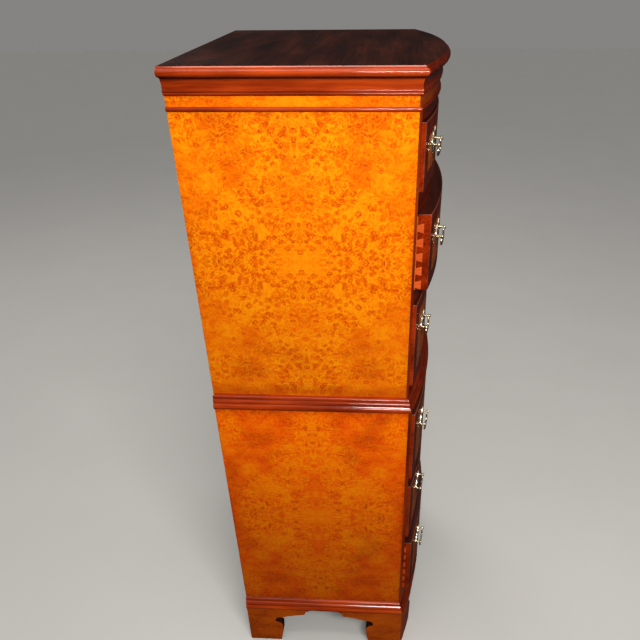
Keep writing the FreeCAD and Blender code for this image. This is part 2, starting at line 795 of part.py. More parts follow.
def build():
    """Lays out every node, from the two cases to the handles."""
    fill_sheets()
    upper_mitre, lower_mitre = mitre_tool("upper"), mitre_tool("lower")
    case_work(
        "upper", "split", "upper_head", (1, 2, 3),
        [("split", "drawer_3_base"), ("drawer_3_head", "drawer_2_base"),
         ("drawer_2_head", "drawer_1_base"), ("drawer_1_head", "upper_head")],
        ("split", "upper_head - board_thickness"), ("waist_head", "upper_head"),
    )
    case_work(
        "lower", "foot_height", "split", (4, 5, 6),
        [("foot_height", "drawer_6_base"), ("drawer_6_head", "drawer_5_base"),
         ("drawer_5_head", "drawer_4_base"), ("drawer_4_head", "split")],
        ("foot_height", "split - board_thickness"), ("base_moulding_head", "waist_foot"),
    )
    frieze = run_of(
        "frieze", "upper",
        [("-wall", "upper_head"), (0, "upper_head"), (0, "frieze_head"), ("-wall", "frieze_head")],
        upper_mitre,
    )
    rear = board("frieze_rear", ("-upper_open", "-wall", "upper_head"), ("upper_open", 0, "frieze_head"))
    node("frieze", frieze + [rear])
    node("frieze_bead", run_of(
        "bead", "upper",
        profile(FRIEZE_BEAD_SHARES, "frieze_bead_reach", "upper_head", "frieze_bead_height"), upper_mitre))
    node("cornice_moulding", run_of(
        "cornice", "upper", profile(CORNICE_SHARES, "cornice_reach", "cornice_foot", "cornice_height"),
        upper_mitre))
    top_board()
    node("waist_moulding", run_of(
        "waist", "lower",
        profile(WAIST_SHARES, "waist_reach", "waist_foot", "waist_height", "lower_step"), lower_mitre))
    node("base_moulding", run_of(
        "base", "lower",
        profile(BASE_SHARES, "base_moulding_reach", "foot_height", "base_moulding_height"), lower_mitre))
    feet(lower_mitre)
    for drawer, case, pull in (
        (1, "upper", 0), (2, "upper", "drawer_2_pull"), (3, "upper", 0),
        (4, "lower", 0), (5, "lower", 0), (6, "lower", "drawer_6_pull"),
    ):
        drawer_assembly(drawer, case, pull)


def write():
    """Checks every object and every shape, and only then writes the files."""
    document.recompute()
    for item in document.Objects:
        if {"Invalid", "Error"} & set(item.State):
            raise RuntimeError(f"{item.Name} did not build: {item.State}")
    for item in nodes:
        if item.Shape.isNull() or not item.Shape.isValid():
            raise RuntimeError(f"{item.Label} has no valid shape")
    os.makedirs("parts", exist_ok=True)
    for item in nodes:
        item.Shape.exportStep(os.path.join("parts", item.Label + ".step"))
        print(f"{item.Label}: {len(item.Shape.Solids)} solids, {item.Shape.Volume:.0f} mm3")


nodes = []
build()
write()
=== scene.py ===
"""Looks of a bow-fronted chest-on-chest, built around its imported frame.

Metres, +Z up, -Y to the drawer fronts, X from side to side. Every new piece is modelled where
the frame says, with its object at the origin and its place in its mesh.
"""

import json
import logging
import math
from collections.abc import Callable, Iterable, Sequence
from dataclasses import dataclass, replace
from enum import Enum

import bmesh
import bpy
from mathutils import Matrix, Vector

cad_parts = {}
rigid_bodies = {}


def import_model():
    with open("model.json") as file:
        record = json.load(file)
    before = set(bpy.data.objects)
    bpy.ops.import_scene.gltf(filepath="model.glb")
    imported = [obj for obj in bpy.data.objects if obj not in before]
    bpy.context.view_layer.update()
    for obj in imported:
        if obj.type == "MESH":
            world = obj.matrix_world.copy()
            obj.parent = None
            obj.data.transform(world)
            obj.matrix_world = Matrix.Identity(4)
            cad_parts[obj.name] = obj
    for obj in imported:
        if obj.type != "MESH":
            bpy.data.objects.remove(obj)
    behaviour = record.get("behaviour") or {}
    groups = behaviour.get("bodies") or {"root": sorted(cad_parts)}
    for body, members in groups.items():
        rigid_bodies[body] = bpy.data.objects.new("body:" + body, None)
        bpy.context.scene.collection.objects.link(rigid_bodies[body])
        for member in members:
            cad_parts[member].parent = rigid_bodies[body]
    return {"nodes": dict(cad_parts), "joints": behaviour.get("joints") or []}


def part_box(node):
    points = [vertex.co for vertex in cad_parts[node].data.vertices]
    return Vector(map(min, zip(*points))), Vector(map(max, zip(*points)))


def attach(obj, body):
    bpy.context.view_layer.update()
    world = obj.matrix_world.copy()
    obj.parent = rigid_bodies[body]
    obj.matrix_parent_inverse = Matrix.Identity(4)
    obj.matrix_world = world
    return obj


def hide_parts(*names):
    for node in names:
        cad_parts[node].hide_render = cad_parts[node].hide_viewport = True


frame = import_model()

log = logging.getLogger("chest_on_chest")

Triple = tuple[float, float, float]
Span = tuple[float, float]
Corner = tuple[float, ...]
Socket = bpy.types.NodeSocket
Outputs = bpy.types.NodeOutputs
Solid = bmesh.types.BMesh
Edge = bmesh.types.BMEdge
Face = bmesh.types.BMFace

GRAIN = "grain"
UP = Vector((0, 0, 1))
MERGE = 1e-6
TOUCH = 1e-4
NODE_MERGE = 2e-6
FLAT = math.radians(0.4)
SHARP = math.radians(30)
SQUARE_ON = 0.9
SLANTED = 0.5
CASE_DEPTH = 0.415
BOW_RISE = 0.045
DRAWERS = 6


class Axis(Enum):
    """The way that the grain of a piece runs."""

    ACROSS = 0
    DEEP = 1
    UPRIGHT = 2


class Figure(Enum):
    """The way that a burr veneer faces, as a share of the front's."""

    SIDE = 0.0
    FRONT = 1.0


# Shader trees


class Graph:
    """A shader node tree while it is being wired."""

    def __init__(self, tree: bpy.types.NodeTree) -> None:
        """Keeps the tree that the nodes go into."""
        self.tree = tree

    def feed(self, socket: Socket, value: object) -> None:
        """Links a socket into an input, or sets the input's own value.

        Args:
            socket: the input.
            value: an output socket, a number, a vector or a colour.
        """
        if isinstance(value, Socket):
            self.tree.links.new(value, socket)
        elif socket.type == "RGBA":
            socket.default_value = (*value, 1.0)
        else:
            socket.default_value = value

    def add(self, kind: str, inputs: dict | None = None, **options: object) -> bpy.types.Node:
        """Adds one node.

        Args:
            kind: the node's type without its ShaderNode prefix.
            inputs: what goes into it, by the input's name or place.
            options: the node's own options.

        Returns:
            The node.
        """
        node = self.tree.nodes.new("ShaderNode" + kind)
        for name, option in options.items():
            setattr(node, name, option)
        for place, value in (inputs or {}).items():
            self.feed(node.inputs[place], value)
        return node

    def math(self, operation: str, *values: object) -> Socket:
        """One Math node's result."""
        return self.add("Math", dict(enumerate(values)), operation=operation).outputs[0]

    def times(self, first: object, second: object) -> Socket:
        """One number times another."""
        return self.math("MULTIPLY", first, second)

    def scaled(self, value: object, factor: object, start: object) -> Socket:
        """A start plus a number times a factor."""
        return self.math("MULTIPLY_ADD", value, factor, start)

    def vector(self, operation: str, *values: object) -> Socket:
        """One Vector Math node's result."""
        return self.add("VectorMath", dict(enumerate(values)), operation=operation).outputs[0]

    def parts(self, vector: object) -> Outputs:
        """A vector's three numbers."""
        return self.add("SeparateXYZ", {0: vector}).outputs

    def noise(
        self, place: object, scale: float, detail: float = 2.0, rough: float = 0.5,
        twist: float = 0.0, colour: bool = False,
    ) -> Socket:
        """One noise.

        Args:
            place: the coordinates that it reads.
            scale: how many lumps there are to a metre.
            detail: how many finer layers it has.
            rough: how strong the finer layers are.
            twist: how far it is distorted.
            colour: whether three noises come out instead of one.

        Returns:
            The noise, around a half.
        """
        node = self.add("TexNoise", {
            "Vector": place, "Scale": scale, "Detail": detail, "Roughness": rough, "Distortion": twist,
        })
        return node.outputs["Color" if colour else 0]

    def cells(self, place: object, scale: float) -> tuple[Socket, list[Socket]]:
        """Scattered cells.

        Args:
            place: the coordinates that they read.
            scale: how many cells there are to a metre.

        Returns:
            The distance from the cell's centre, and three chances that are even over a cell.
        """
        node = self.add("TexVoronoi", voronoi_dimensions="2D")
        self.feed(node.inputs["Vector"], place)
        self.feed(node.inputs["Scale"], scale)
        chances = self.add("SeparateColor", {0: node.outputs["Color"]})
        return node.outputs["Distance"], list(chances.outputs)

    def between(self, value: object, low: object, high: object) -> Socket:
        """A soft step from nought at low to one at high, which may be the lower number."""
        return self.add("MapRange", {0: value, 1: low, 2: high}, interpolation_type="SMOOTHSTEP").outputs[0]

    def blend(self, share: object, first: object, second: object) -> Socket:
        """A number that passes from the first to the second by a share."""
        return self.add("Mix", {0: share, 2: first, 3: second}).outputs[0]

    def mix(self, share: object, first: object, second: object) -> Socket:
        """One colour laid over another by a share."""
        return self.add("Mix", {0: share, 6: first, 7: second}, data_type="RGBA").outputs[2]

    def ramp(self, value: object, places: Triple, colours: tuple[Triple, Triple, Triple]) -> Socket:
        """A colour that runs through three stops.

        Args:
            value: where it is read, from nought to one.
            places: where the stops stand.
            colours: the stops' colours.

        Returns:
            The colour.
        """
        node = self.add("ValToRGB", {0: value})
        elements = node.color_ramp.elements
        elements.new(places[2])
        for element, place, colour in zip(elements, places, colours):
            element.position = place
            element.color = (*colour, 1.0)
        return node.outputs[0]


class Effect:
    """A node group that finishes share, built once and placed in each with its own values."""

    name: str
    takes: dict[str, str]
    gives: dict[str, str]

    def wire(self, graph: Graph, given: Outputs) -> dict[str, Socket]:
        """Wires the inside of the group, from its inputs to its named outputs."""
        raise NotImplementedError

    def tree(self) -> bpy.types.NodeTree:
        """The group, built the first time that it is asked for.

        Returns:
            The group's tree.
        """
        tree = bpy.data.node_groups.get(self.name)
        if tree is None:
            tree = bpy.data.node_groups.new(self.name, "ShaderNodeTree")
            for way, sockets in (("INPUT", self.takes), ("OUTPUT", self.gives)):
                for name, kind in sockets.items():
                    tree.interface.new_socket(name, in_out=way, socket_type="NodeSocket" + kind)
            start = tree.nodes.new("NodeGroupInput")
            end = tree.nodes.new("NodeGroupOutput")
            for name, socket in self.wire(Graph(tree), start.outputs).items():
                tree.links.new(socket, end.inputs[name])
        return tree

    def place(self, graph: Graph, **values: object) -> Outputs:
        """Places the group in a finish, its inputs given by name, and gives its outputs."""
        return graph.add("Group", values, node_tree=self.tree()).outputs


class BookMatch(Effect):
    """A surface folded about its centre lines, so that its leaves mirror each other."""

    name = "book_match"
    takes = {"position": "Vector", "centre": "Vector", "front": "Float"}
    gives = {"leaf": "Vector"}

    def wire(self, graph: Graph, given: Outputs) -> dict[str, Socket]:
        """Wires the fold.

        Args:
            graph: the group's tree.
            given: its inputs.

        Returns:
            The place on the leaf, laid out flat as across and up.
        """
        leaf = graph.vector("ABSOLUTE", graph.vector("SUBTRACT", given["position"], given["centre"]))
        x, y, z = graph.parts(leaf)
        across = graph.blend(given["front"], y, x)
        return {"leaf": graph.add("CombineXYZ", {0: across, 1: z}).outputs[0]}


@dataclass(frozen=True)
class Patch(Effect):
    """A soft oval patch about a centre, that fades between two shares of its spread."""

    name = "patch"
    takes = {"place": "Vector", "centre": "Vector", "spread": "Vector"}
    gives = {"mask": "Float"}
    outer: float = 1.15
    inner: float = 0.25

    def wire(self, graph: Graph, given: Outputs) -> dict[str, Socket]:
        """Wires the patch.

        Args:
            graph: the group's tree.
            given: its inputs.

        Returns:
            The mask, which is one at the centre.
        """
        offset = graph.vector("SUBTRACT", given["place"], given["centre"])
        offset = graph.vector("DIVIDE", offset, given["spread"])
        reach = graph.add("VectorMath", {0: offset}, operation="LENGTH").outputs["Value"]
        return {"mask": graph.between(reach, self.outer, self.inner)}


@dataclass(frozen=True)
class Burr(Effect):
    """The figure of a burr: streaked clouds, bright curls, and rosettes of dark specks. Scales
    are lumps or cells to a metre, reaches are metres, and the rest are shares."""

    name = "burr"
    takes = {"leaf": "Vector", "crowding": "Float", "knots": "Float"}
    gives = {"cloud": "Float", "curl": "Float", "halo": "Float", "eye": "Float"}
    drift_scale: float = 9.0
    drift_reach: float = 0.05
    bend_scale: float = 110.0
    bend_reach: float = 0.0045
    cloud_scale: float = 10.0
    cloud_streak: float = 2.4
    curl_scale: float = 80.0
    curl_width: float = 0.19
    fine_curl_scale: float = 150.0
    fine_curl_width: float = 0.24
    fine_curl_share: float = 0.55
    calm_curl: float = 0.4
    busy_crowding: float = 0.45
    rosette_scale: float = 56.0
    rosette_least: float = 0.34
    rosette_spread: float = 0.2
    rosette_rim: float = 0.35
    core_outer: float = 0.6
    core_inner: float = 0.2
    core_fade: float = 0.6
    speck_scale: float = 240.0
    speck_in_rosette: float = 0.75
    speck_outside: float = 0.12
    speck_outer: float = 0.62
    speck_inner: float = 0.05
    curl_sharp: float = 0.02
    rosette_chance: Span = (-0.05, 0.15)
    speck_chance: Span = (0.0, 0.45)

    def curls(self, graph: Graph, place: Socket, scale: float, width: float) -> Socket:
        """Soft curled lines where a noise crosses its middle.

        Args:
            graph: the group's tree.
            place: the coordinates that they read.
            scale: the noise's lumps to a metre.
            width: how wide the lines are.

        Returns:
            The lines' mask.
        """
        noise = graph.noise(place, scale, detail=1.5, twist=0.6)
        off = graph.math("ABSOLUTE", graph.scaled(noise, 2.0, -1.0))
        return graph.between(off, width, self.curl_sharp)

    def wire(self, graph: Graph, given: Outputs) -> dict[str, Socket]:
        """Wires the figure.

        Args:
            graph: the group's tree.
            given: its inputs.

        Returns:
            The masks of its clouds, its curls, its rosettes' halos and their eyes.
        """
        drift = graph.noise(given["leaf"], self.drift_scale, colour=True)
        bend = graph.noise(given["leaf"], self.bend_scale, colour=True)
        place = graph.vector("MULTIPLY_ADD", drift, (self.drift_reach,) * 3, given["leaf"])
        place = graph.vector("MULTIPLY_ADD", bend, (self.bend_reach,) * 3, place)
        busy = graph.between(given["crowding"], 0.0, self.busy_crowding)
        active = graph.scaled(busy, 1.0 - self.calm_curl, self.calm_curl)
        fine = self.curls(graph, place, self.fine_curl_scale, self.fine_curl_width)
        coarse = self.curls(graph, place, self.curl_scale, self.curl_width)
        curl = graph.math("MAXIMUM", coarse, graph.times(fine, self.fine_curl_share))
        distance, chances = graph.cells(place, self.rosette_scale)
        crowd = graph.times(given["crowding"], given["knots"])
        there = graph.between(graph.math("SUBTRACT", crowd, chances[1]), *self.rosette_chance)
        size = graph.scaled(chances[0], self.rosette_spread, self.rosette_least)
        rosette = graph.between(distance, size, graph.times(size, self.rosette_rim))
        rosette = graph.times(there, rosette)
        core = graph.between(
            distance, graph.times(size, self.core_outer), graph.times(size, self.core_inner))
        small, luck = graph.cells(place, self.speck_scale)
        likely = graph.scaled(rosette, self.speck_in_rosette, graph.times(crowd, self.speck_outside))
        speck = graph.between(graph.math("SUBTRACT", likely, luck[1]), *self.speck_chance)
        streaked = graph.vector("MULTIPLY", place, (1.0, self.cloud_streak, 1.0))
        return {
            "cloud": graph.noise(streaked, self.cloud_scale, detail=5.0, rough=0.64),
            "curl": graph.times(curl, active),
            "halo": graph.times(rosette, graph.scaled(core, -self.core_fade, 1.0)),
            "eye": graph.times(speck, graph.between(small, self.speck_outer, self.speck_inner)),
        }


@dataclass(frozen=True)
class StraightGrain(Effect):
    """Straight timber whose grain runs along the first coordinate. Each pair is how many lumps
    there are to a metre along the grain and across it."""

    name = "straight_grain"
    takes = {"place": "Vector"}
    gives = {"streak": "Float", "ribbon": "Float", "pore": "Float"}
    wander: Span = (3.0, 9.0)
    wander_reach: float = 0.02
    streak: Span = (4.0, 190.0)
    ribbon: Span = (5.0, 22.0)
    pore: Span = (70.0, 1500.0)
    pore_edge: Span = (0.62, 0.74)

    def drawn_out(self, graph: Graph, place: object, lumps: Span, **looks: object) -> Socket:
        """One noise drawn out along the grain."""
        return graph.noise(graph.vector("MULTIPLY", place, (lumps[0], lumps[1], lumps[1])), 1.0, **looks)

    def wire(self, graph: Graph, given: Outputs) -> dict[str, Socket]:
        """Wires the grain.

        Args:
            graph: the group's tree.
            given: its inputs.

        Returns:
            The masks of its fine streaks, its broad ribbons and its pores.
        """
        wander = self.drawn_out(graph, given["place"], self.wander, colour=True)
        sideways = (0.0, self.wander_reach, self.wander_reach)
        place = graph.vector("MULTIPLY_ADD", wander, sideways, given["place"])
        pores = self.drawn_out(graph, place, self.pore, detail=1.0)
        return {
            "streak": self.drawn_out(graph, place, self.streak, detail=4.0, rough=0.6),
            "ribbon": self.drawn_out(graph, place, self.ribbon, detail=3.0),
            "pore": graph.between(pores, *self.pore_edge),
        }


@dataclass(frozen=True)
class Polish(Effect):
    """Hand polish: a faint waviness, and smears that dull it here and there. Scales are lumps to
    a metre."""

    name = "polish"
    takes = {"place": "Vector"}
    gives = {"height": "Float", "smear": "Float"}
    broad_scale: float = 15.0
    fine_scale: float = 300.0
    fine_share: float = 0.035
    smear_scale: float = 7.0
    smear_edge: Span = (0.42, 0.72)

    def wire(self, graph: Graph, given: Outputs) -> dict[str, Socket]:
        """Wires the polish.

        Args:
            graph: the group's tree.
            given: its inputs.

        Returns:
            The height of its waves, and the mask of its smears.
        """
        broad = graph.noise(given["place"], self.broad_scale)
        fine = graph.noise(given["place"], self.fine_scale, detail=1.0)
        smear = graph.noise(given["place"], self.smear_scale, detail=5.0, rough=0.62)
        return {
            "height": graph.scaled(fine, self.fine_share, broad),
            "smear": graph.between(smear, *self.smear_edge),
        }


# Finishes


@dataclass(frozen=True)
class Finish:
    """What every finish has: a name, and the gloss and waviness of its surface."""

    name: str
    roughness: float = 0.14
    smear: float = 0.08
    wave: float = 0.00035
    refraction: float = 1.33

    def paint(self, graph: Graph, shader: bpy.types.Node, position: Socket) -> None:
        """Wires the finish's own colours into its shader."""
        raise NotImplementedError

    def material(self) -> bpy.types.Material:
        """The finish as a material, made once.

        Returns:
            The material.
        """
        made = bpy.data.materials.get(self.name)
        if made is None:
            made = bpy.data.materials.new(self.name)
            made.use_nodes = True
            made.node_tree.nodes.clear()
            graph = Graph(made.node_tree)
            shader = graph.add("BsdfPrincipled", {"IOR": self.refraction})
            graph.add("OutputMaterial", {"Surface": shader.outputs[0]})
            position = graph.add("TexCoord").outputs["Object"]
            polish = Polish().place(graph, place=position)
            graph.feed(
                shader.inputs["Roughness"], graph.scaled(polish["smear"], self.smear, self.roughness))
            bump = graph.add("Bump", {"Strength": 1.0, "Distance": self.wave, "Height": polish["height"]})
            graph.feed(shader.inputs["Normal"], bump.outputs[0])
            self.paint(graph, shader, position)
        return made


@dataclass(frozen=True)
class BurrVeneer(Finish):
    """Book-matched burr veneer. Patches of eyes are (across, up, spread, strength), the first
    three as shares of half the panel's width and height. Finer figures crowd closer, a lifted one
    meets above the panel's middle, and painted shade darkens the panel towards its edges and,
    by a share, towards its foot."""

    figure: Figure = Figure.SIDE
    centre: Triple = (0.0, 0.0, 0.0)
    half_size: Span = (1.0, 1.0)
    lift: float = 0.0
    patches: tuple[tuple[float, float, float, float], ...] = ()
    patch_flatness: float = 0.8
    fineness: float = 1.0
    ground: float = 0.1
    knots: float = 1.0
    # How strongly painted shade darkens the panel towards its foot.
    painted_foot_shade: float = 0.0
    pale: Triple = (1.0, 0.345, 0.003)
    mid: Triple = (0.84, 0.122, 0.001)
    deep: Triple = (0.6, 0.06, 0.001)
    halo: Triple = (0.66, 0.048, 0.001)
    eye: Triple = (0.32, 0.01, 0.001)
    # The edge colour serves the random stains, and the painted shade at the panel's edges and foot.
    edge: Triple = (0.36, 0.045, 0.001)
    stops: Triple = (0.34, 0.5, 0.78)
    curl_share: float = 0.8
    halo_share: float = 0.75
    eye_share: float = 0.66
    stain_share: float = 0.7
    edge_share: float = 0.5
    gap_scale: float = 22.0
    gap_edge: Span = (0.25, 0.5)
    # How fine the painted edge shade wanders, how far, and where it starts.
    edge_shade_scale: float = 40.0
    edge_shade_wander: float = 0.12
    edge_shade_span: Span = (0.95, 1.04)
    stain_scale: float = 7.0
    stain_edge: Span = (0.55, 0.78)

    def matched(self, plan: "BowPlan", low: float, high: float) -> "BurrVeneer":
        """The same veneer matched about the middle of one side panel.

        Args:
            plan: the case's plan.
            low: the panel's lowest level.
            high: its highest level.

        Returns:
            The finish.
        """
        corner = plan.front(plan.half)
        return replace(
            self, centre=(0.0, (plan.back + corner) / 2, (low + high) / 2 + self.lift),
            half_size=((plan.back - corner) / 2, (high - low) / 2))

    def crowding(self, graph: Graph, leaf: Socket, place: Socket) -> Socket:
        """How closely the eyes crowd.

        Args:
            graph: the finish's tree.
            leaf: the coordinates on the leaf of veneer.
            place: the same place as shares of the panel.

        Returns:
            The patches' strengths over the ground's, broken up by a wandering noise.
        """
        total: object = self.ground
        for across, up, spread, strength in self.patches:
            mask = Patch().place(
                graph, place=place, centre=(across, up, 0.0),
                spread=(spread, spread * self.patch_flatness, 1.0))
            total = graph.scaled(mask["mask"], strength, total)
        gaps = graph.between(graph.noise(leaf, self.gap_scale), *self.gap_edge)
        return graph.times(total, gaps)

    def painted_edge_shade(self, graph: Graph, leaf: Socket, place: Socket) -> Socket:
        """How far painted shade darkens the panel towards its edges.

        Args:
            graph: the finish's tree.
            leaf: the coordinates on the leaf of veneer.
            place: the same place as shares of the panel.

        Returns:
            The mask, which is one at the edges.
        """
        ends = graph.parts(place)
        wander = graph.noise(leaf, self.edge_shade_scale, detail=4.0)
        wander = graph.scaled(wander, self.edge_shade_wander, -self.edge_shade_wander / 2)
        reach = graph.math("ADD", graph.math("MAXIMUM", ends[0], ends[1]), wander)
        return graph.between(reach, *self.edge_shade_span)

    def paint(self, graph: Graph, shader: bpy.types.Node, position: Socket) -> None:
        """Wires the burr's colours, from its clouds down to its specks.

        Args:
            graph: the finish's tree.
            shader: what the colours go into.
            position: the coordinates on the piece.
        """
        match = BookMatch().place(graph, position=position, centre=self.centre, front=self.figure.value)
        leaf = match["leaf"]
        place = graph.vector("DIVIDE", leaf, (*self.half_size, 1.0))
        figured = graph.add("VectorMath", {0: leaf, "Scale": self.fineness}, operation="SCALE").outputs[0]
        crowding = self.crowding(graph, leaf, place)
        burr = Burr().place(graph, leaf=figured, crowding=crowding, knots=self.knots)
        colour = graph.ramp(burr["cloud"], self.stops, (self.deep, self.mid, self.pale))
        colour = graph.mix(graph.times(burr["curl"], self.curl_share), colour, self.pale)
        colour = graph.mix(graph.times(burr["halo"], self.halo_share), colour, self.halo)
        colour = graph.mix(graph.times(burr["eye"], self.eye_share), colour, self.eye)
        stain = graph.noise(position, self.stain_scale, detail=4.0, rough=0.6)
        stain = graph.between(stain, *self.stain_edge)
        stain = graph.times(stain, self.stain_share)
        # Painted shade along the panel's edges joins the stains here.
        stain = graph.math("MAXIMUM", stain, self.painted_edge_shade(graph, leaf, place))
        colour = graph.mix(graph.times(stain, self.edge_share), colour, self.edge)
        # Painted shade: darker towards the panel's foot, as light falls off downward.
        if self.painted_foot_shade:
            level, half = self.centre[2], self.half_size[1]
            low = graph.between(graph.parts(position)[2], level + half, level - half)
            colour = graph.mix(graph.times(low, self.painted_foot_shade), colour, self.edge)
        graph.feed(shader.inputs["Base Color"], colour)


@dataclass(frozen=True)
class Timber(Finish):
    """Straight-grained timber. With no axis the grain follows the piece's own attribute."""

    axis: Axis | None = None
    light: Triple = (0.5, 0.06, 0.006)
    mid: Triple = (0.31, 0.029, 0.003)
    dark: Triple = (0.11, 0.008, 0.001)
    stops: Triple = (0.36, 0.5, 0.64)
    ribbon_share: float = 0.6
    pore_depth: float = 0.5

    def place(self, graph: Graph, position: Socket) -> Socket:
        """The coordinates of the grain.

        Args:
            graph: the finish's tree.
            position: the coordinates on the piece.

        Returns:
            The coordinates, with the first of them along the grain.
        """
        if self.axis is None:
            return graph.add("Attribute", attribute_name=GRAIN).outputs["Vector"]
        parts = list(graph.parts(position))
        along = parts.pop(self.axis.value)
        return graph.add("CombineXYZ", {0: along, 1: parts[0], 2: parts[1]}).outputs[0]

    def paint(self, graph: Graph, shader: bpy.types.Node, position: Socket) -> None:
        """Wires the timber's colours: ribbons, streaks and pores.

        Args:
            graph: the finish's tree.
            shader: what the colours go into.
            position: the coordinates on the piece.
        """
        grain = StraightGrain().place(graph, place=self.place(graph, position))
        streak = graph.times(grain["streak"], 1.0 - self.ribbon_share)
        tone = graph.scaled(grain["ribbon"], self.ribbon_share, streak)
        colour = graph.ramp(tone, self.stops, (self.dark, self.mid, self.light))
        pores = graph.times(grain["pore"], self.pore_depth)
        graph.feed(shader.inputs["Base Color"], graph.mix(pores, colour, self.dark))


@dataclass(frozen=True)
class AgedBrass(Finish):
    """Pale cast brass, worn bright on its high places and brown where it was never rubbed."""

    bright: Triple = (0.78, 0.68, 0.5)
    dull: Triple = (0.3, 0.23, 0.14)
    dulling: float = 0.25
    spot_scale: float = 160.0
    spot_edge: Span = (0.52, 0.72)

    def paint(self, graph: Graph, shader: bpy.types.Node, position: Socket) -> None:
        """Wires the metal's colours and its tarnish.

        Args:
            graph: the finish's tree.
            shader: what they go into.
            position: the coordinates on the piece.
        """
        shader.inputs["Metallic"].default_value = 1.0
        spots = graph.noise(position, self.spot_scale, detail=4.0, rough=0.6)
        spots = graph.between(spots, *self.spot_edge)
        graph.feed(shader.inputs["Base Color"], graph.mix(spots, self.bright, self.dull))
        graph.feed(shader.inputs["Roughness"], graph.scaled(spots, self.dulling, self.roughness))


@dataclass(frozen=True)
class PaleFloor(Finish):
    """A plain pale studio floor, darker for the light that it throws back."""

    tint: Triple = (0.64, 0.63, 0.61)
    shade: Triple = (0.6, 0.59, 0.57)
    unseen: Triple = (0.02, 0.0195, 0.019)
    mottle_scale: float = 3.0

    def paint(self, graph: Graph, shader: bpy.types.Node, position: Socket) -> None:
        """Wires a faint mottle, and the darker floor.

        Args:
            graph: the finish's tree.
            shader: what they go into.
            position: the coordinates on the floor.
        """
        mottle = graph.mix(graph.noise(position, self.mottle_scale, detail=4.0), self.tint, self.shade)
        rays = graph.add("LightPath").outputs
        graph.feed(shader.inputs["Base Color"], graph.mix(rays["Is Camera Ray"], self.unseen, mottle))


# The side panels' burrs darken towards their feet by a share of painted shade.
BRIGHT_BURR = BurrVeneer(
    "bright_burr", lift=0.021, ground=0.22, fineness=1.2, painted_foot_shade=0.2,
    patches=(
        (0.12, 0.88, 0.3, 0.9), (0.12, 0.7, 0.18, 0.7), (0.22, 0.56, 0.16, 0.5), (0.42, 0.34, 0.3, 0.8),
        (0.5, 0.1, 0.34, 0.8), (0.76, 0.12, 0.24, 0.5), (0.06, 0.2, 0.2, 0.6), (0.92, 0.86, 0.14, 1.0)))
# The lower panels' burr: its deeper colours are partly its own tone and partly painted shade.
DEEP_SHADED_BURR = BurrVeneer(
    "deep_burr_partly_painted_shade", fineness=1.2, knots=0.3, painted_foot_shade=0.36,
    patches=(
        (0.0, 0.72, 0.34, 0.5), (0.06, 0.84, 0.08, 0.9), (0.06, 0.56, 0.08, 0.8), (0.3, 0.48, 0.3, 0.4),
        (0.45, 0.16, 0.5, 0.5), (0.76, 0.04, 0.16, 0.5), (0.92, 0.84, 0.2, 0.9)),
    pale=(1.0, 0.28, 0.001), mid=(0.88, 0.074, 0.001), deep=(0.64, 0.042, 0.001),
    halo=(0.5, 0.028, 0.001), eye=(0.24, 0.008, 0.001), edge=(0.12, 0.01, 0.001))
FRIEZE_BURR = BurrVeneer(
    "frieze_burr", ground=0.05, patches=((0.95, 0.3, 0.16, 0.7), (0.3, 0.6, 0.2, 0.2)))
# A darker copy of the frieze burr for the bowed front: painted shade.
SHADED_FRONT_FRIEZE_BURR = BurrVeneer(
    "frieze_front_burr_painted_shade", figure=Figure.FRONT, ground=0.25,
    pale=(0.4, 0.07, 0.002), mid=(0.26, 0.032, 0.001), deep=(0.15, 0.016, 0.001),
    halo=(0.14, 0.014, 0.001), eye=(0.04, 0.004, 0.001), edge=(0.1, 0.01, 0.001))
DRAWER_BURR = BurrVeneer(
    "drawer_burr", figure=Figure.FRONT, ground=0.42,
    pale=(0.6, 0.14, 0.003), mid=(0.4, 0.055, 0.002), deep=(0.25, 0.028, 0.001),
    halo=(0.2, 0.02, 0.001), eye=(0.05, 0.005, 0.001), edge=(0.15, 0.015, 0.001))
FOOT_SIDE_BURR = BurrVeneer(
    "foot_burr_side", half_size=(1.0, 0.16), ground=0.14, knots=0.2,
    pale=(0.66, 0.12, 0.004), mid=(0.44, 0.062, 0.002), deep=(0.26, 0.028, 0.002),
    halo=(0.22, 0.024, 0.002), eye=(0.09, 0.008, 0.001), edge=(0.1, 0.01, 0.002))
FOOT_FRONT_BURR = replace(FOOT_SIDE_BURR, name="foot_burr_front", figure=Figure.FRONT)
# Half the height in metres of a panel that gets no painted edge shade along its top and foot.
LONG_PANEL = 2.0

MAHOGANY = Timber("red_mahogany", roughness=0.11, smear=0.05, wave=0.00003, refraction=1.44)
# A darker copy of the mahogany for the bowed front: painted shade.
SHADED_FRONT_MAHOGANY = replace(
    MAHOGANY, name="front_mahogany_painted_shade",
    light=(0.22, 0.02, 0.003), mid=(0.135, 0.011, 0.0015), dark=(0.055, 0.0035, 0.001))
DRAWER_MAHOGANY = Timber(
    "drawer_mahogany", light=(0.2, 0.017, 0.002), mid=(0.12, 0.009, 0.0015), dark=(0.05, 0.003, 0.001))
# A dark colour for the drawer fronts' upward faces: painted shade.
SHADED_DRAWER_TOP_EDGE = Timber(
    "drawer_top_edge_painted_shade", light=(0.06, 0.011, 0.006), mid=(0.038, 0.007, 0.004), dark=(0.02, 0.004, 0.002))
# A lighter copy of the drawer mahogany for the fronts' end faces: painted light.
LIT_DRAWER_END = Timber(
    "drawer_end_mahogany_painted_light",
    light=(0.4, 0.036, 0.003), mid=(0.25, 0.019, 0.0015), dark=(0.09, 0.005, 0.0008))
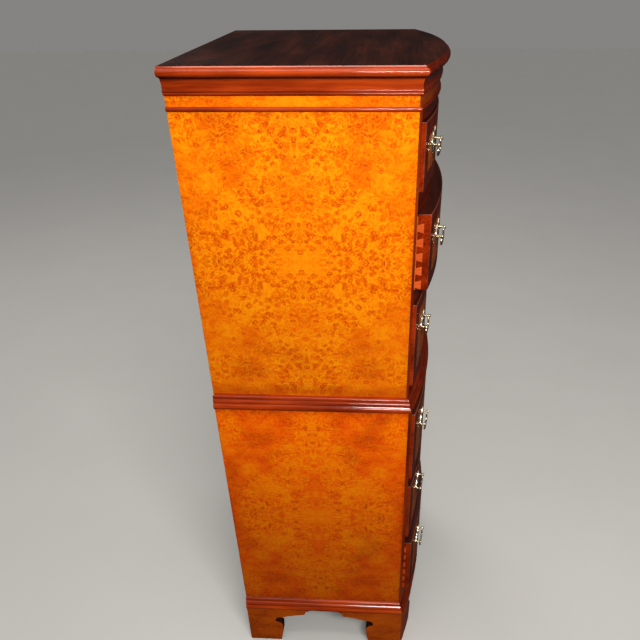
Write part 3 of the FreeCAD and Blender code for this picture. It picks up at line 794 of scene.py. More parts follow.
# Pale colour on the drawer fronts' rounded arrises: a painted highlight.
HIGHLIGHT_ARRIS = Timber(
    "arris_painted_highlight", light=(0.26, 0.07, 0.035), mid=(0.18, 0.04, 0.02), dark=(0.1, 0.018, 0.009))
LIPPING = Timber(
    "lipping_mahogany", axis=Axis.UPRIGHT,
    light=(0.26, 0.036, 0.006), mid=(0.16, 0.018, 0.003), dark=(0.08, 0.007, 0.002))
DARK_CUT = Timber(
    "dark_cut_edges", axis=Axis.UPRIGHT, roughness=0.4,
    light=(0.05, 0.012, 0.004), mid=(0.03, 0.007, 0.003), dark=(0.015, 0.004, 0.002))
DARK_TOP = Timber(
    "dark_top_mahogany", axis=Axis.ACROSS, roughness=0.2,
    light=(0.075, 0.016, 0.008), mid=(0.04, 0.009, 0.005), dark=(0.015, 0.004, 0.003))
LINING = Timber(
    "waxed_lining", axis=Axis.DEEP, roughness=0.42, pore_depth=0.3,
    light=(0.72, 0.12, 0.018), mid=(0.6, 0.085, 0.012), dark=(0.42, 0.055, 0.008))
LINING_BOTTOM = Timber(
    "drawer_bottom", axis=Axis.ACROSS, roughness=0.5, pore_depth=0.3,
    light=(0.6, 0.36, 0.18), mid=(0.5, 0.28, 0.13), dark=(0.36, 0.18, 0.08))
SOFTWOOD = Timber(
    "carcase_softwood", axis=Axis.UPRIGHT, roughness=0.6, pore_depth=0.2,
    light=(0.5, 0.27, 0.12), mid=(0.4, 0.2, 0.085), dark=(0.26, 0.12, 0.05))
LOW_SOFTWOOD = replace(
    SOFTWOOD, name="carcase_softwood_low",
    light=(0.44, 0.22, 0.09), mid=(0.34, 0.16, 0.065), dark=(0.22, 0.1, 0.04))
RUNNER_WOOD = replace(
    SOFTWOOD, name="carcase_runner_wood", axis=Axis.DEEP,
    light=(0.46, 0.25, 0.12), mid=(0.36, 0.18, 0.08), dark=(0.24, 0.11, 0.05))
BRASS = AgedBrass("aged_brass", roughness=0.26, smear=0.0, wave=0.00008)
FLOOR = PaleFloor("pale_floor", roughness=0.75, smear=0.0, wave=0.0)


# Mesh work


def curve_through(start: Vector, end: Vector, radius: float, steps: int) -> list[Vector]:
    """The inner points of a short arc.

    Args:
        start: where the arc leaves.
        end: where it arrives.
        radius: positive where it swells to the right of its way, negative to the left.
        steps: how many straight pieces stand for it.

    Returns:
        The points between start and end.
    """
    chord = end - start
    side = Vector((-chord.y, chord.x)).normalized() * math.copysign(1, radius)
    centre = (start + end) / 2 + side * math.sqrt(radius ** 2 - chord.length_squared / 4)
    sweep = math.copysign(2 * math.asin(chord.length / 2 / abs(radius)), radius)
    spoke = start - centre
    return [centre + Matrix.Rotation(sweep * step / steps, 2) @ spoke for step in range(1, steps)]


def outline(shares: Iterable[Corner], width: float, height: float, steps: int = 8) -> list[Vector]:
    """An outline from its table of shares.

    Args:
        shares: corners as (across, up) or (across, up, radius of the arc that leaves it), in
            shares of the width, the height and the height.
        width: the full width.
        height: the full height.
        steps: how many straight pieces stand for each arc.

    Returns:
        The outline's points.
    """
    corners = [(Vector((c[0] * width, c[1] * height)), c[2] * height if len(c) > 2 else 0) for c in shares]
    points: list[Vector] = []
    for (here, radius), (there, _) in zip(corners, corners[1:] + corners[:1]):
        points.append(here)
        if radius:
            points += curve_through(here, there, radius, steps)
    return points


def ring_of(bm: Solid, points: Iterable[Sequence[float]]) -> list[Edge]:
    """Closes points into a ring of edges."""
    verts = [bm.verts.new(point) for point in points]
    return [bm.edges.new(pair) for pair in zip(verts, verts[1:] + verts[:1])]


def new_verts(made: dict[str, list]) -> list[bmesh.types.BMVert]:
    """The vertices among what an operator made."""
    return [item for item in made["geom"] if isinstance(item, bmesh.types.BMVert)]


def all_of(bm: Solid) -> list:
    """Every vertex, edge and face of a mesh."""
    return bm.verts[:] + bm.edges[:] + bm.faces[:]


def seal(bm: Solid) -> None:
    """Merges a mesh's doubles and turns its faces outwards."""
    bmesh.ops.remove_doubles(bm, verts=bm.verts, dist=MERGE)
    bmesh.ops.recalc_face_normals(bm, faces=bm.faces)


def faces_front(face: Face) -> bool:
    """Whether a face looks out of the front."""
    return face.normal.y < -SQUARE_ON


def mesh_of(name: str, bm: Solid) -> bpy.types.Mesh:
    """A mesh that objects can have.

    Args:
        name: its name.
        bm: its shape, which is freed.

    Returns:
        The mesh.
    """
    mesh = bpy.data.meshes.new(name)
    bm.to_mesh(mesh)
    bm.free()
    return mesh


def in_scene(name: str, data: bpy.types.ID) -> bpy.types.Object:
    """A new object in the scene.

    Args:
        name: its name.
        data: its mesh, light or camera.

    Returns:
        The object.
    """
    shown = bpy.data.objects.new(name, data)
    bpy.context.scene.collection.objects.link(shown)
    return shown


def slab(points: Iterable[Sequence[float]], way: Vector) -> Solid:
    """A flat outline made solid.

    Args:
        points: the outline in space.
        way: how far and which way it is extruded.

    Returns:
        The solid.
    """
    bm = bmesh.new()
    bmesh.ops.contextual_create(bm, geom=ring_of(bm, points))
    grown = bmesh.ops.extrude_face_region(bm, geom=bm.faces[:], use_keep_orig=True)
    bmesh.ops.translate(bm, verts=new_verts(grown), vec=way)
    bmesh.ops.recalc_face_normals(bm, faces=bm.faces)
    return bm


def block(low: Vector, high: Vector) -> Solid:
    """A plain block.

    Args:
        low: its least corner.
        high: its greatest corner.

    Returns:
        The block.
    """
    bm = bmesh.new()
    bmesh.ops.create_cube(bm, size=1.0)
    bmesh.ops.scale(bm, verts=bm.verts, vec=high - low)
    bmesh.ops.translate(bm, verts=bm.verts, vec=(low + high) / 2)
    return bm


def halve(bm: Solid, plane: tuple[Vector, Vector], keep_front: bool, cap: bool = False) -> None:
    """Cuts a mesh by a plane and drops one side.

    Args:
        bm: the mesh.
        plane: a point of the plane, and its normal.
        keep_front: whether the side that the normal points to stays.
        cap: whether the cut is closed.
    """
    cut = bmesh.ops.bisect_plane(
        bm, geom=all_of(bm), dist=MERGE, plane_co=plane[0], plane_no=plane[1],
        clear_inner=keep_front, clear_outer=not keep_front)
    if cap:
        edges = [item for item in cut["geom_cut"] if isinstance(item, Edge)]
        bmesh.ops.holes_fill(bm, edges=edges, sides=0)


def joined(parts: Iterable[Solid]) -> Solid:
    """Several meshes as one.

    Args:
        parts: the meshes, which are freed.

    Returns:
        The one mesh.
    """
    whole = bmesh.new()
    for part in parts:
        mesh = mesh_of("part", part)
        whole.from_mesh(mesh)
        bpy.data.meshes.remove(mesh)
    return whole


def mirrored(bm: Solid) -> Solid:
    """A copy on the other side of the middle, with its faces still outwards.

    Args:
        bm: the mesh, which stays.

    Returns:
        The copy.
    """
    twin = bm.copy()
    bmesh.ops.scale(twin, verts=twin.verts, vec=(-1, 1, 1))
    bmesh.ops.reverse_faces(twin, faces=twin.faces)
    return twin


def shared_by(first: Solid, second: Solid) -> Solid:
    """What two solids share.

    Args:
        first: one solid, which is freed.
        second: the other, which is freed too.

    Returns:
        The solid that lies in both.
    """
    holders = [in_scene("slab", mesh_of("slab", bm)) for bm in (first, second)]
    cut = holders[0].modifiers.new("shared", "BOOLEAN")
    cut.operation = "INTERSECT"
    cut.solver = "EXACT"
    cut.object = holders[1]
    bm = bmesh.new()
    bm.from_object(holders[0], bpy.context.evaluated_depsgraph_get())
    for holder in holders:
        bpy.data.objects.remove(holder)
    bmesh.ops.remove_doubles(bm, verts=bm.verts, dist=MERGE)
    return bm


def soften(bm: Solid, edges: Iterable[Edge], width: float, segments: int = 2) -> set[Face]:
    """Rounds the sharp, closed edges among some.

    Args:
        bm: the mesh.
        edges: the edges to look at.
        width: how wide the round is.
        segments: how many faces it has across.

    Returns:
        The new faces.
    """
    sharp = [e for e in edges if len(e.link_faces) == 2 and e.calc_face_angle(0) > SHARP]
    made = bmesh.ops.bevel(
        bm, geom=sharp, offset=width, offset_type="OFFSET", segments=segments, profile=0.5,
        affect="EDGES", clamp_overlap=True, material=-1)
    return set(made["faces"])


def copy_of(node: str) -> Solid:
    """A frame node's shape, its loose triangles merged into flat faces.

    Args:
        node: the node's name.

    Returns:
        The copy.
    """
    bm = bmesh.new()
    bm.from_mesh(frame["nodes"][node].data)
    bmesh.ops.remove_doubles(bm, verts=bm.verts, dist=NODE_MERGE)
    bmesh.ops.dissolve_limit(bm, angle_limit=FLAT, verts=bm.verts, edges=bm.edges)
    return bm


def lay_grain(bm: Solid, choose: Callable[[Face], Axis]) -> None:
    """Writes where each face's corners lie in its timber, with the first number along the grain.

    Args:
        bm: the mesh.
        choose: gives the way that a face's grain runs.
    """
    layer = bm.loops.layers.float_vector.get(GRAIN) or bm.loops.layers.float_vector.new(GRAIN)
    for face in bm.faces:
        axis = choose(face).value
        for loop in face.loops:
            place = list(loop.vert.co)
            along = place.pop(axis)
            loop[layer] = (along, *place)


@dataclass(frozen=True)
class Piece:
    """A finished piece: its name, the body it rides on, its slot, the nodes it stands for, its
    finishes, and the angle in degrees past which an edge stays sharp."""

    name: str
    body: str
    slot: str
    nodes: tuple[str, ...]
    finishes: tuple[Finish, ...]
    crease: float = 32.0

    def show(self, bm: Solid, choose: Callable[[Face], Finish] | None = None) -> None:
        """Makes the piece's object and ties it to the frame.

        Args:
            bm: the piece's mesh, which is freed.
            choose: gives a face's finish, where there is more than one.
        """
        for face in bm.faces:
            face.smooth = True
            if choose:
                face.material_index = self.finishes.index(choose(face))
        mesh = mesh_of(self.name, bm)
        mesh.set_sharp_from_angle(angle=math.radians(self.crease))
        for finish in self.finishes:
            mesh.materials.append(finish.material())
        shown = in_scene(self.name, mesh)
        weighted = shown.modifiers.new("even_normals", "WEIGHTED_NORMAL")
        weighted.keep_sharp = True
        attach(shown, self.body)
        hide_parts(*self.nodes)
        log.info("%s: %d faces", self.name, len(mesh.polygons))


def dress(nodes: Iterable[str], finish: Finish) -> None:
    """Gives frame nodes whose shape stays as it is their finish.

    Args:
        nodes: the nodes' names.
        finish: what they get.
    """
    for node in nodes:
        for slot in frame["nodes"][node].material_slots:
            slot.material = finish.material()
        log.info("%s: %s", node, finish.name)


# The plan of the cases


@dataclass(frozen=True)
class BowPlan:
    """A case seen from above: straight sides, and a front that swells in one arc."""

    half: float
    radius: float
    axis: float
    back: float
    mitre_reach: float = 0.032

    @classmethod
    def over(cls, half: float, depth: float, rise: float, back: float) -> "BowPlan":
        """A plan from its half width, its depth at the corners and the rise of its bow."""
        radius = (half ** 2 + rise ** 2) / (2 * rise)
        return cls(half, radius, back - depth - rise + radius, back)

    def stepped(self, step: float) -> "BowPlan":
        """The same plan stepped out all round."""
        return BowPlan(self.half + step, self.radius + step, self.axis, self.back)

    def front(self, x: float, reach: float = 0.0) -> float:
        """The front's place along Y at one place across, so far out from the face."""
        return self.axis - math.sqrt((self.radius + reach) ** 2 - x ** 2)

    def spin(self, bm: Solid, geom: list, sweep: float, steps: int) -> None:
        """Turns a section about the bow's axis, from the left of the front to its right.

        Args:
            bm: the section's mesh, which is at the middle.
            geom: what of it is turned.
            sweep: the angle.
            steps: how many straight pieces stand for it.
        """
        centre = Vector((0, self.axis, 0))
        start = Matrix.Rotation(-sweep / 2, 3, "Z")
        bmesh.ops.rotate(bm, verts=bm.verts, cent=centre, matrix=start)
        bmesh.ops.spin(bm, geom=geom, cent=centre, axis=UP, angle=sweep, steps=steps, use_duplicate=False)

    def corner(self, side: int) -> tuple[Vector, Vector]:
        """The mitre at one front corner.

        Args:
            side: -1 for the left corner, 1 for the right one.

        Returns:
            A point of the mitre, and its normal towards the bowed front.
        """
        wide = self.half + self.mitre_reach
        near = Vector((side * self.half, self.front(self.half), 0))
        along = Vector((side * wide, self.front(wide, self.mitre_reach), 0)) - near
        return near, side * along.cross(UP)

    def beside(self, face: Face) -> bool:
        """Whether a face is on a side, past the mitres."""
        centre = face.calc_center_median()
        return any((centre - point).dot(normal) < 0 for point, normal in map(self.corner, (-1, 1)))

    def grain(self, face: Face) -> Axis:
        """The way that the grain of a face runs, along the front or a side."""
        return Axis.DEEP if self.beside(face) else Axis.ACROSS

    def mahogany(self, face: Face) -> Finish:
        """The mahogany of a face, painted deeper in front as shade."""
        return MAHOGANY if self.beside(face) else SHADED_FRONT_MAHOGANY


@dataclass(frozen=True)
class Run:
    """A moulding that follows a plan: a bowed front and two returns, mitred at the corners. Its
    section is points of (reach from the face, height)."""

    plan: BowPlan
    sweep: float = math.radians(44)
    steps: int = 56
    overrun: float = 0.08
    seam: float = 0.0002

    def front(self, section: Sequence[Vector]) -> Solid:
        """The bowed front.

        Args:
            section: the moulding's section.

        Returns:
            Its mesh, open at the mitres.
        """
        bm = bmesh.new()
        edges = ring_of(bm, [(0, self.plan.axis - self.plan.radius - out, up) for out, up in section])
        self.plan.spin(bm, bm.verts[:] + edges, self.sweep, self.steps)
        for side in (-1, 1):
            halve(bm, self.plan.corner(side), keep_front=True)
        return bm

    def side(self, section: Sequence[Vector]) -> Solid:
        """The left return.

        Args:
            section: the moulding's section.

        Returns:
            Its mesh, open at both ends.
        """
        bm = bmesh.new()
        edges = ring_of(bm, [(-self.plan.half - out, self.plan.back, up) for out, up in section])
        made = bmesh.ops.extrude_edge_only(bm, edges=edges)
        length = self.plan.back - self.plan.front(0) + self.overrun
        bmesh.ops.translate(bm, verts=new_verts(made), vec=(0, -length, 0))
        halve(bm, self.plan.corner(-1), keep_front=False)
        return bm

    def whole(self, section: Sequence[Vector]) -> Solid:
        """The whole run.

        Args:
            section: the moulding's section.

        Returns:
            Its mesh, closed at the back.
        """
        side = self.side(section)
        bm = joined([self.front(section), mirrored(side), side])
        bmesh.ops.remove_doubles(bm, verts=bm.verts, dist=self.seam)
        bmesh.ops.holes_fill(bm, edges=[e for e in bm.edges if e.is_boundary], sides=0)
        bmesh.ops.recalc_face_normals(bm, faces=bm.faces)
        lay_grain(bm, self.plan.grain)
        return bm


# Sub-assemblies


@dataclass
class Mouldings:
    """Cornice, frieze, frieze bead, waist moulding and base moulding. Tables of shares are
    (reach, height, radius of the arc that leaves the point)."""

    upper: BowPlan
    lower: BowPlan
    wall: float = 0.018
    crease: float = 28.0
    bead_reach: float = 0.0065
    cornice_reach: float = 0.0104
    waist_reach: float = 0.016
    base_reach: float = 0.015
    bead_shares: tuple[Corner, ...] = (
        (0.0, 0.0), (0.45, 0.0), (0.62, 0.14, 0.5), (0.62, 0.86), (0.45, 1.0), (0.0, 1.0))
    cornice_shares: tuple[Corner, ...] = (
        (-0.2, 0.0), (0.46, 0.0), (0.5, 0.02, 0.075), (0.5, 0.13), (0.46, 0.145), (0.54, 0.165, 0.1),
        (0.56, 0.33), (0.46, 0.36), (0.47, 0.4, -0.95), (0.9, 0.96), (0.9, 1.0), (-0.2, 1.0))
    waist_shares: tuple[Corner, ...] = (
        (0.4, 0.0), (0.76, 0.0), (0.82, 0.05, 0.22), (0.82, 0.4), (0.74, 0.45), (0.74, 0.48, 0.18),
        (0.68, 0.7), (0.6, 0.74), (0.58, 0.78, 0.16), (0.4, 0.98), (0.0, 1.0), (0.0, 0.5), (0.4, 0.5))
    base_shares: tuple[Corner, ...] = (
        (-0.2, 0.0), (0.78, 0.0), (0.83, 0.04, 0.2), (0.8, 0.34), (0.68, 0.4), (0.68, 0.44, 0.17),
        (0.56, 0.68), (0.42, 0.72), (0.4, 0.75, 0.17), (0.2, 0.97), (-0.2, 1.0))

    def build(self) -> None:
        """Makes every moulding."""
        step = self.lower.half - self.upper.half
        for node, plan, shares, reach, inset in (
            ("frieze_bead", self.upper, self.bead_shares, self.bead_reach, 0.0),
            ("cornice_moulding", self.upper, self.cornice_shares, self.cornice_reach, 0.0),
            ("waist_moulding", self.lower, self.waist_shares, self.waist_reach, step),
            ("base_moulding", self.lower, self.base_shares, self.base_reach, 0.0),
        ):
            low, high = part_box(node)
            inner = Vector((-inset, low.z))
            section = [point + inner for point in outline(shares, reach, high.z - low.z)]
            finishes = (MAHOGANY, SHADED_FRONT_MAHOGANY)
            piece = Piece(node + "_run", "case", "mahogany", (node,), finishes, self.crease)
            piece.show(Run(plan).whole(section), plan.mahogany)
        self.frieze()

    def frieze(self) -> None:
        """The veneered frieze, with its plain rail across the back."""
        low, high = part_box("frieze")
        plan, wall = self.upper, self.wall
        square = [Vector(point) for point in ((-wall, low.z), (0.0, low.z), (0.0, high.z), (-wall, high.z))]
        inside = plan.half - wall
        rail = block(
            Vector((-inside, plan.back - wall, low.z)), Vector((inside, plan.back, high.z)))
        side = FRIEZE_BURR.matched(plan, low.z, high.z)
        # The front's veneer is the darker copy: painted shade.
        front = replace(SHADED_FRONT_FRIEZE_BURR, half_size=(plan.half, LONG_PANEL))

        def choose(face: Face) -> Finish:
            """A face's finish: veneer outside, and softwood within.

            Args:
                face: the face.

            Returns:
                The finish.
            """
            level = abs(face.normal.z) > SLANTED
            if level or face.calc_center_median().y > plan.back - wall / 2:
                return SOFTWOOD
            return side if plan.beside(face) else front

        piece = Piece("frieze_veneered", "case", "burr_veneer", ("frieze",), (side, front, SOFTWOOD))
        piece.show(joined([Run(plan).whole(square), rail]), choose)


@dataclass
class TopBoard:
    """The top: its front edge follows the bow, and its ends overhang the sides. Its sections are
    points of (reach from the plan, height), from the underside up."""

    plan: BowPlan
    front_reach: float = 0.019
    side_reach: float = 0.026
    sweep: float = math.radians(80)
    steps: int = 96
    arc_steps: int = 10
    face_depth: float = 0.0005
    crease: float = 24.0
    front_shares: tuple[Corner, ...] = (
        (0.63, 0.0), (0.66, 0.1), (0.74, 0.14, 0.322), (0.98, 0.46, 0.349), (0.733, 0.8), (0.66, 0.8),
        (0.66, 0.9), (0.6, 1.0))
    side_shares: tuple[Corner, ...] = (
        (0.6, 0.0), (0.62, 0.1), (0.66, 0.14, 0.347), (0.98, 0.46, 0.349), (0.8, 0.8), (0.75, 0.8),
        (0.75, 0.9), (0.7, 1.0))

    def edge(self, shares: tuple[Corner, ...], reach: float, low: float, high: float) -> list[Vector]:
        """One edge's section between two levels, from its table and how far it stands out."""
        return [point + Vector((0.0, low)) for point in outline(shares, reach, high - low, self.arc_steps)]

    def swept(self, low: float, high: float) -> Solid:
        """A slab whose front edge follows the bow.

        Args:
            low: the level of its underside.
            high: the level of its top.

        Returns:
            The slab.
        """
        bm = bmesh.new()
        section = self.edge(self.front_shares, self.front_reach, low, high)
        points = [(0, self.plan.axis - self.plan.radius - out, up) for out, up in section]
        points += [(0, self.plan.back, high), (0, self.plan.back, low)]
        bmesh.ops.contextual_create(bm, geom=ring_of(bm, points))
        self.plan.spin(bm, bm.faces[:], self.sweep, self.steps)
        bmesh.ops.recalc_face_normals(bm, faces=bm.faces)
        return bm

    def straight(self, low: float, high: float) -> Solid:
        """A slab whose two ends are moulded.

        Args:
            low: the level of its underside.
            high: the level of its top.

        Returns:
            The slab.
        """
        section = self.edge(self.side_shares, self.side_reach, low, high)
        right = [(self.plan.half + out, self.plan.back, up) for out, up in section]
        left = [(-x, y, z) for x, y, z in reversed(right)]
        length = self.plan.back - self.plan.front(0) + 2 * self.front_reach
        return slab(right + left, Vector((0, -length, 0)))

    def build(self) -> None:
        """Cuts the two slabs to what they share."""
        low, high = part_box("top_board")
        bm = shared_by(self.swept(low.z, high.z), self.straight(low.z, high.z))
        lay_grain(bm, self.plan.grain)

        def choose(face: Face) -> Finish:
            """A face's finish: the dark top, or the mahogany of the edges.

            Args:
                face: the face.

            Returns:
                The finish.
            """
            level = face.normal.z > SQUARE_ON
            if level and face.calc_center_median().z > high.z - self.face_depth:
                return DARK_TOP
            return self.plan.mahogany(face)

        finishes = (DARK_TOP, MAHOGANY, SHADED_FRONT_MAHOGANY)
        piece = Piece("top_board_polished", "case", "dark_top", ("top_board",), finishes, self.crease)
        piece.show(bm, choose)


@dataclass
class Case:
    """Sides, rails, boards, back and runners of one case."""

    name: str
    plan: BowPlan
    veneer: Finish
    softwood: Finish
    arris: float = 0.0006
    flush: float = 0.00001

    def side(self, hand: str) -> None:
        """One side: veneered outside, with a red lipping down its front edge.

        Args:
            hand: left or right.
        """
        node = f"{self.name}_side_{hand}"
        bm = copy_of(node)
        half = self.plan.half
        outer = [e for e in bm.edges if all(abs(abs(v.co.x) - half) < self.flush for v in e.verts)]
        soften(bm, outer, self.arris)
        lay_grain(bm, lambda face: Axis.UPRIGHT)
        corner = self.plan.front(half)

        def choose(face: Face) -> Finish:
            """A face's finish: lipping in front, veneer outside, and softwood within.

            Args:
                face: the face.

            Returns:
                The finish.
            """
            centre = face.calc_center_median()
            if centre.y < corner + TOUCH:
                return LIPPING
            return self.veneer if abs(centre.x) > half - 2 * self.arris else SOFTWOOD

        finishes = (self.veneer, LIPPING, SOFTWOOD)
        Piece(node + "_veneered", "case", "burr_veneer", (node,), finishes).show(bm, choose)

    def rails(self) -> None:
        """The drawer rails, with their front arrises eased."""
        node = f"{self.name}_rails"
        bm = copy_of(node)
        soften(bm, {e for f in bm.faces if faces_front(f) for e in f.edges}, self.arris)
        lay_grain(bm, lambda face: Axis.ACROSS)
        Piece(node + "_polished", "case", "mahogany", (node,), (DRAWER_MAHOGANY,)).show(bm)

    def build(self) -> None:
        """Makes the case."""
        for hand in ("left", "right"):
            self.side(hand)
        self.rails()
        dress([f"{self.name}_{board}" for board in ("back", "bottom", "top")], self.softwood)
        dress([f"{self.name}_runners"], RUNNER_WOOD)


@dataclass
class BracketFeet:
    """Four bracket feet, each of two shaped brackets and a glue block behind them."""

    plan: BowPlan
    proud: float = 0.012
    thickness: float = 0.02
    length: float = 0.174
    rear_length: float = 0.1
    height: float = 0.14
    block_width: float = 0.028
    block_lift: float = 0.008
    slice_width: float = 0.012
    arris: float = 0.0009
    side_depth: float = 0.01
    bow_facing: float = 0.8
    arc_steps: int = 10
    bracket_shares: tuple[Corner, ...] = (
        (0.0, 0.0), (0.506, 0.0), (0.549, 0.27, 1.2), (0.558, 0.5, 0.14), (0.45, 0.6, -0.11),
        (0.49, 0.735), (0.558, 0.745, -1.6), (0.92, 0.85), (0.943, 0.92, -0.09), (1.0, 0.975),
        (1.0, 1.0), (0.0, 1.0))
    rear_shares: tuple[Corner, ...] = ((0.0, 0.0), (0.55, 0.0), (1.0, 0.8), (1.0, 1.0), (0.0, 1.0))

    @property
    def outer(self) -> float:
        """How far out the feet's side faces stand."""
        return self.plan.half + self.proud

    @property
    def inner(self) -> float:
        """How far out the backs of the side brackets stand."""
        return self.outer - self.thickness

    def bracket(self) -> list[Vector]:
        """A shaped bracket's outline."""
        return outline(self.bracket_shares, self.length, self.height, self.arc_steps)

    def side_bracket(self, corner: float, way: int) -> Solid:
        """A shaped bracket along the left side, which runs back from its corner where way is 1."""
        points = [(-self.outer, corner + way * p.x, p.y) for p in self.bracket()]
        return slab(points, Vector((self.thickness, 0, 0)))

    def bowed_bracket(self) -> Solid:
        """The bracket under the front, bent to the bow.

        Returns:
            Its mesh.
        """
        points = [(p.x - self.outer, 0, p.y) for p in self.bracket()]
        bm = slab(points, Vector((0, self.thickness, 0)))
        for index in range(1, int(self.length / self.slice_width)):
            place = (index * self.slice_width - self.outer, 0, 0)
            bmesh.ops.bisect_plane(bm, geom=all_of(bm), dist=MERGE, plane_co=place, plane_no=(1, 0, 0))
        for vert in bm.verts:
            vert.co.y = self.plan.front(vert.co.x, self.proud - vert.co.y)
        return bm

    def glue_block(self, front: float) -> Solid:
        """The block in the corner behind two brackets, from its front's place along Y."""
        low = Vector((-self.inner, front, self.block_lift))
        return block(low, Vector((self.block_width - self.inner, front + self.block_width, self.height)))

    def front_foot(self) -> Solid:
        """The left front foot.

        Returns:
            Its mesh.
        """
        corner = self.plan.front(self.outer, self.proud)
        side, front = self.side_bracket(corner, 1), self.bowed_bracket()
        halve(side, self.plan.corner(-1), keep_front=False, cap=True)
        halve(front, self.plan.corner(-1), keep_front=True, cap=True)
        return joined([side, front, self.glue_block(corner + self.thickness)])

    def rear_foot(self) -> Solid:
        """The left rear foot, whose second bracket is plain.

        Returns:
            Its mesh.
        """
        back = self.plan.back
        points = outline(self.rear_shares, self.rear_length, self.height)
        rear = slab([(p.x - self.inner, back, p.y) for p in points], Vector((0, -self.thickness, 0)))
        glue = self.glue_block(back - self.thickness - self.block_width)
        return joined([self.side_bracket(back, -1), rear, glue])

    def outside(self, face: Face) -> bool:
        """Whether a face of a left foot shows from the left or the front."""
        return face.calc_center_median().x < self.side_depth - self.outer or faces_front(face)

    def choose(self, face: Face) -> Finish:
        """A face's finish: veneer outside and in front, and a dark stain elsewhere.

        Args:
            face: the face.

        Returns:
            The finish.
        """
        centre = face.calc_center_median()
        if abs(centre.x) > self.outer - 2 * self.arris and abs(face.normal.x) > SLANTED:
            return FOOT_SIDE_BURR
        in_front = face.normal.y < -self.bow_facing and centre.y < self.plan.front(self.outer)
        return FOOT_FRONT_BURR if in_front else DARK_CUT

    def build(self) -> None:
        """Makes the four feet."""
        finishes = (FOOT_SIDE_BURR, FOOT_FRONT_BURR, DARK_CUT)
        for end, make in (("front", self.front_foot), ("rear", self.rear_foot)):
            left = make()
            bmesh.ops.recalc_face_normals(left, faces=left.faces)
            soften(left, [e for e in left.edges if all(map(self.outside, e.link_faces))], self.arris)
            for hand, bm in (("right", mirrored(left)), ("left", left)):
                node = f"foot_{end}_{hand}"
                Piece(node + "_bracket", "case", "mahogany", (node,), finishes).show(bm, self.choose)


@dataclass(frozen=True)
class Field:
    """The burr field of a drawer front, inside its crossbanded border."""

    low: Vector
    high: Vector

    def across(self, face: Face) -> bool:
        """Whether a face of the front lies between the field's two ends."""
        return faces_front(face) and self.low.x < face.calc_center_median().x < self.high.x

    def holds(self, face: Face) -> bool:
        """Whether a face lies in the field."""
        return self.across(face) and self.low.z < face.calc_center_median().z < self.high.z


@dataclass
class Drawer:
    """One drawer: a bowed front veneered in burr inside a crossbanded border, and its box."""

    number: int
    case_half: float
    band: float = 0.028
    round_edge: float = 0.0013
    round_segments: int = 3
    upright: float = 0.7

    def front(self) -> None:
        """The front, with lapped sockets for the tails of its sides."""
        node = f"drawer_{self.number}_front"
        low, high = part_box(node)
        border = Vector((self.band, 0, self.band))
        field = Field(low + border, high - border)
        veneer = replace(DRAWER_BURR, half_size=(self.case_half, LONG_PANEL))
        bm = copy_of(node)
        bow = [f for f in bm.faces if faces_front(f)]
        rim = {e for f in bow for e in f.edges if sum(g in bow for g in e.link_faces) == 1}
        ends = {
            e for e in bm.edges
            if all(abs(v.co.x) > high.x - TOUCH and v.co.z > high.z - TOUCH for v in e.verts)}
        rounded = soften(bm, rim | ends, self.round_edge, self.round_segments)
        for normal in ((1, 0, 0), (0, 0, 1)):
            for point in (field.low, field.high):
                bow = [f for f in bm.faces if faces_front(f) and f not in rounded]
                near = {item for f in bow for item in (f, *f.edges, *f.verts)}
                bmesh.ops.bisect_plane(bm, geom=list(near), dist=MERGE, plane_co=point, plane_no=normal)
                rounded = {f for f in rounded if f.is_valid}
        lay_grain(bm, lambda face: Axis.UPRIGHT if field.across(face) else Axis.ACROSS)

        def choose(face: Face) -> Finish:
            """A face's finish: arrises painted pale as a highlight, plain end faces painted lighter as lit,
            the field, the top edge painted dark as shade, and the border.

            Args:
                face: the face.

            Returns:
                The finish.
            """
            # Painted highlight on the rounded arrises.
            if face in rounded:
                return HIGHLIGHT_ARRIS
            # Painted light: the end faces are a lighter copy.
            if abs(face.normal.x) > self.upright:
                return LIT_DRAWER_END
            if field.holds(face):
                return veneer
            # Painted shade: the upward faces are darker.
            return SHADED_DRAWER_TOP_EDGE if face.normal.z > self.upright else DRAWER_MAHOGANY

        finishes = (veneer, DRAWER_MAHOGANY, SHADED_DRAWER_TOP_EDGE, HIGHLIGHT_ARRIS, LIT_DRAWER_END)
        Piece(node + "_veneered", f"drawer_{self.number}", "mahogany", (node,), finishes).show(bm, choose)

    def build(self) -> None:
        """Makes the front and dresses the box."""
        self.front()
        dress([f"drawer_{self.number}_box"], LINING)
        dress([f"drawer_{self.number}_bottom"], LINING_BOTTOM)


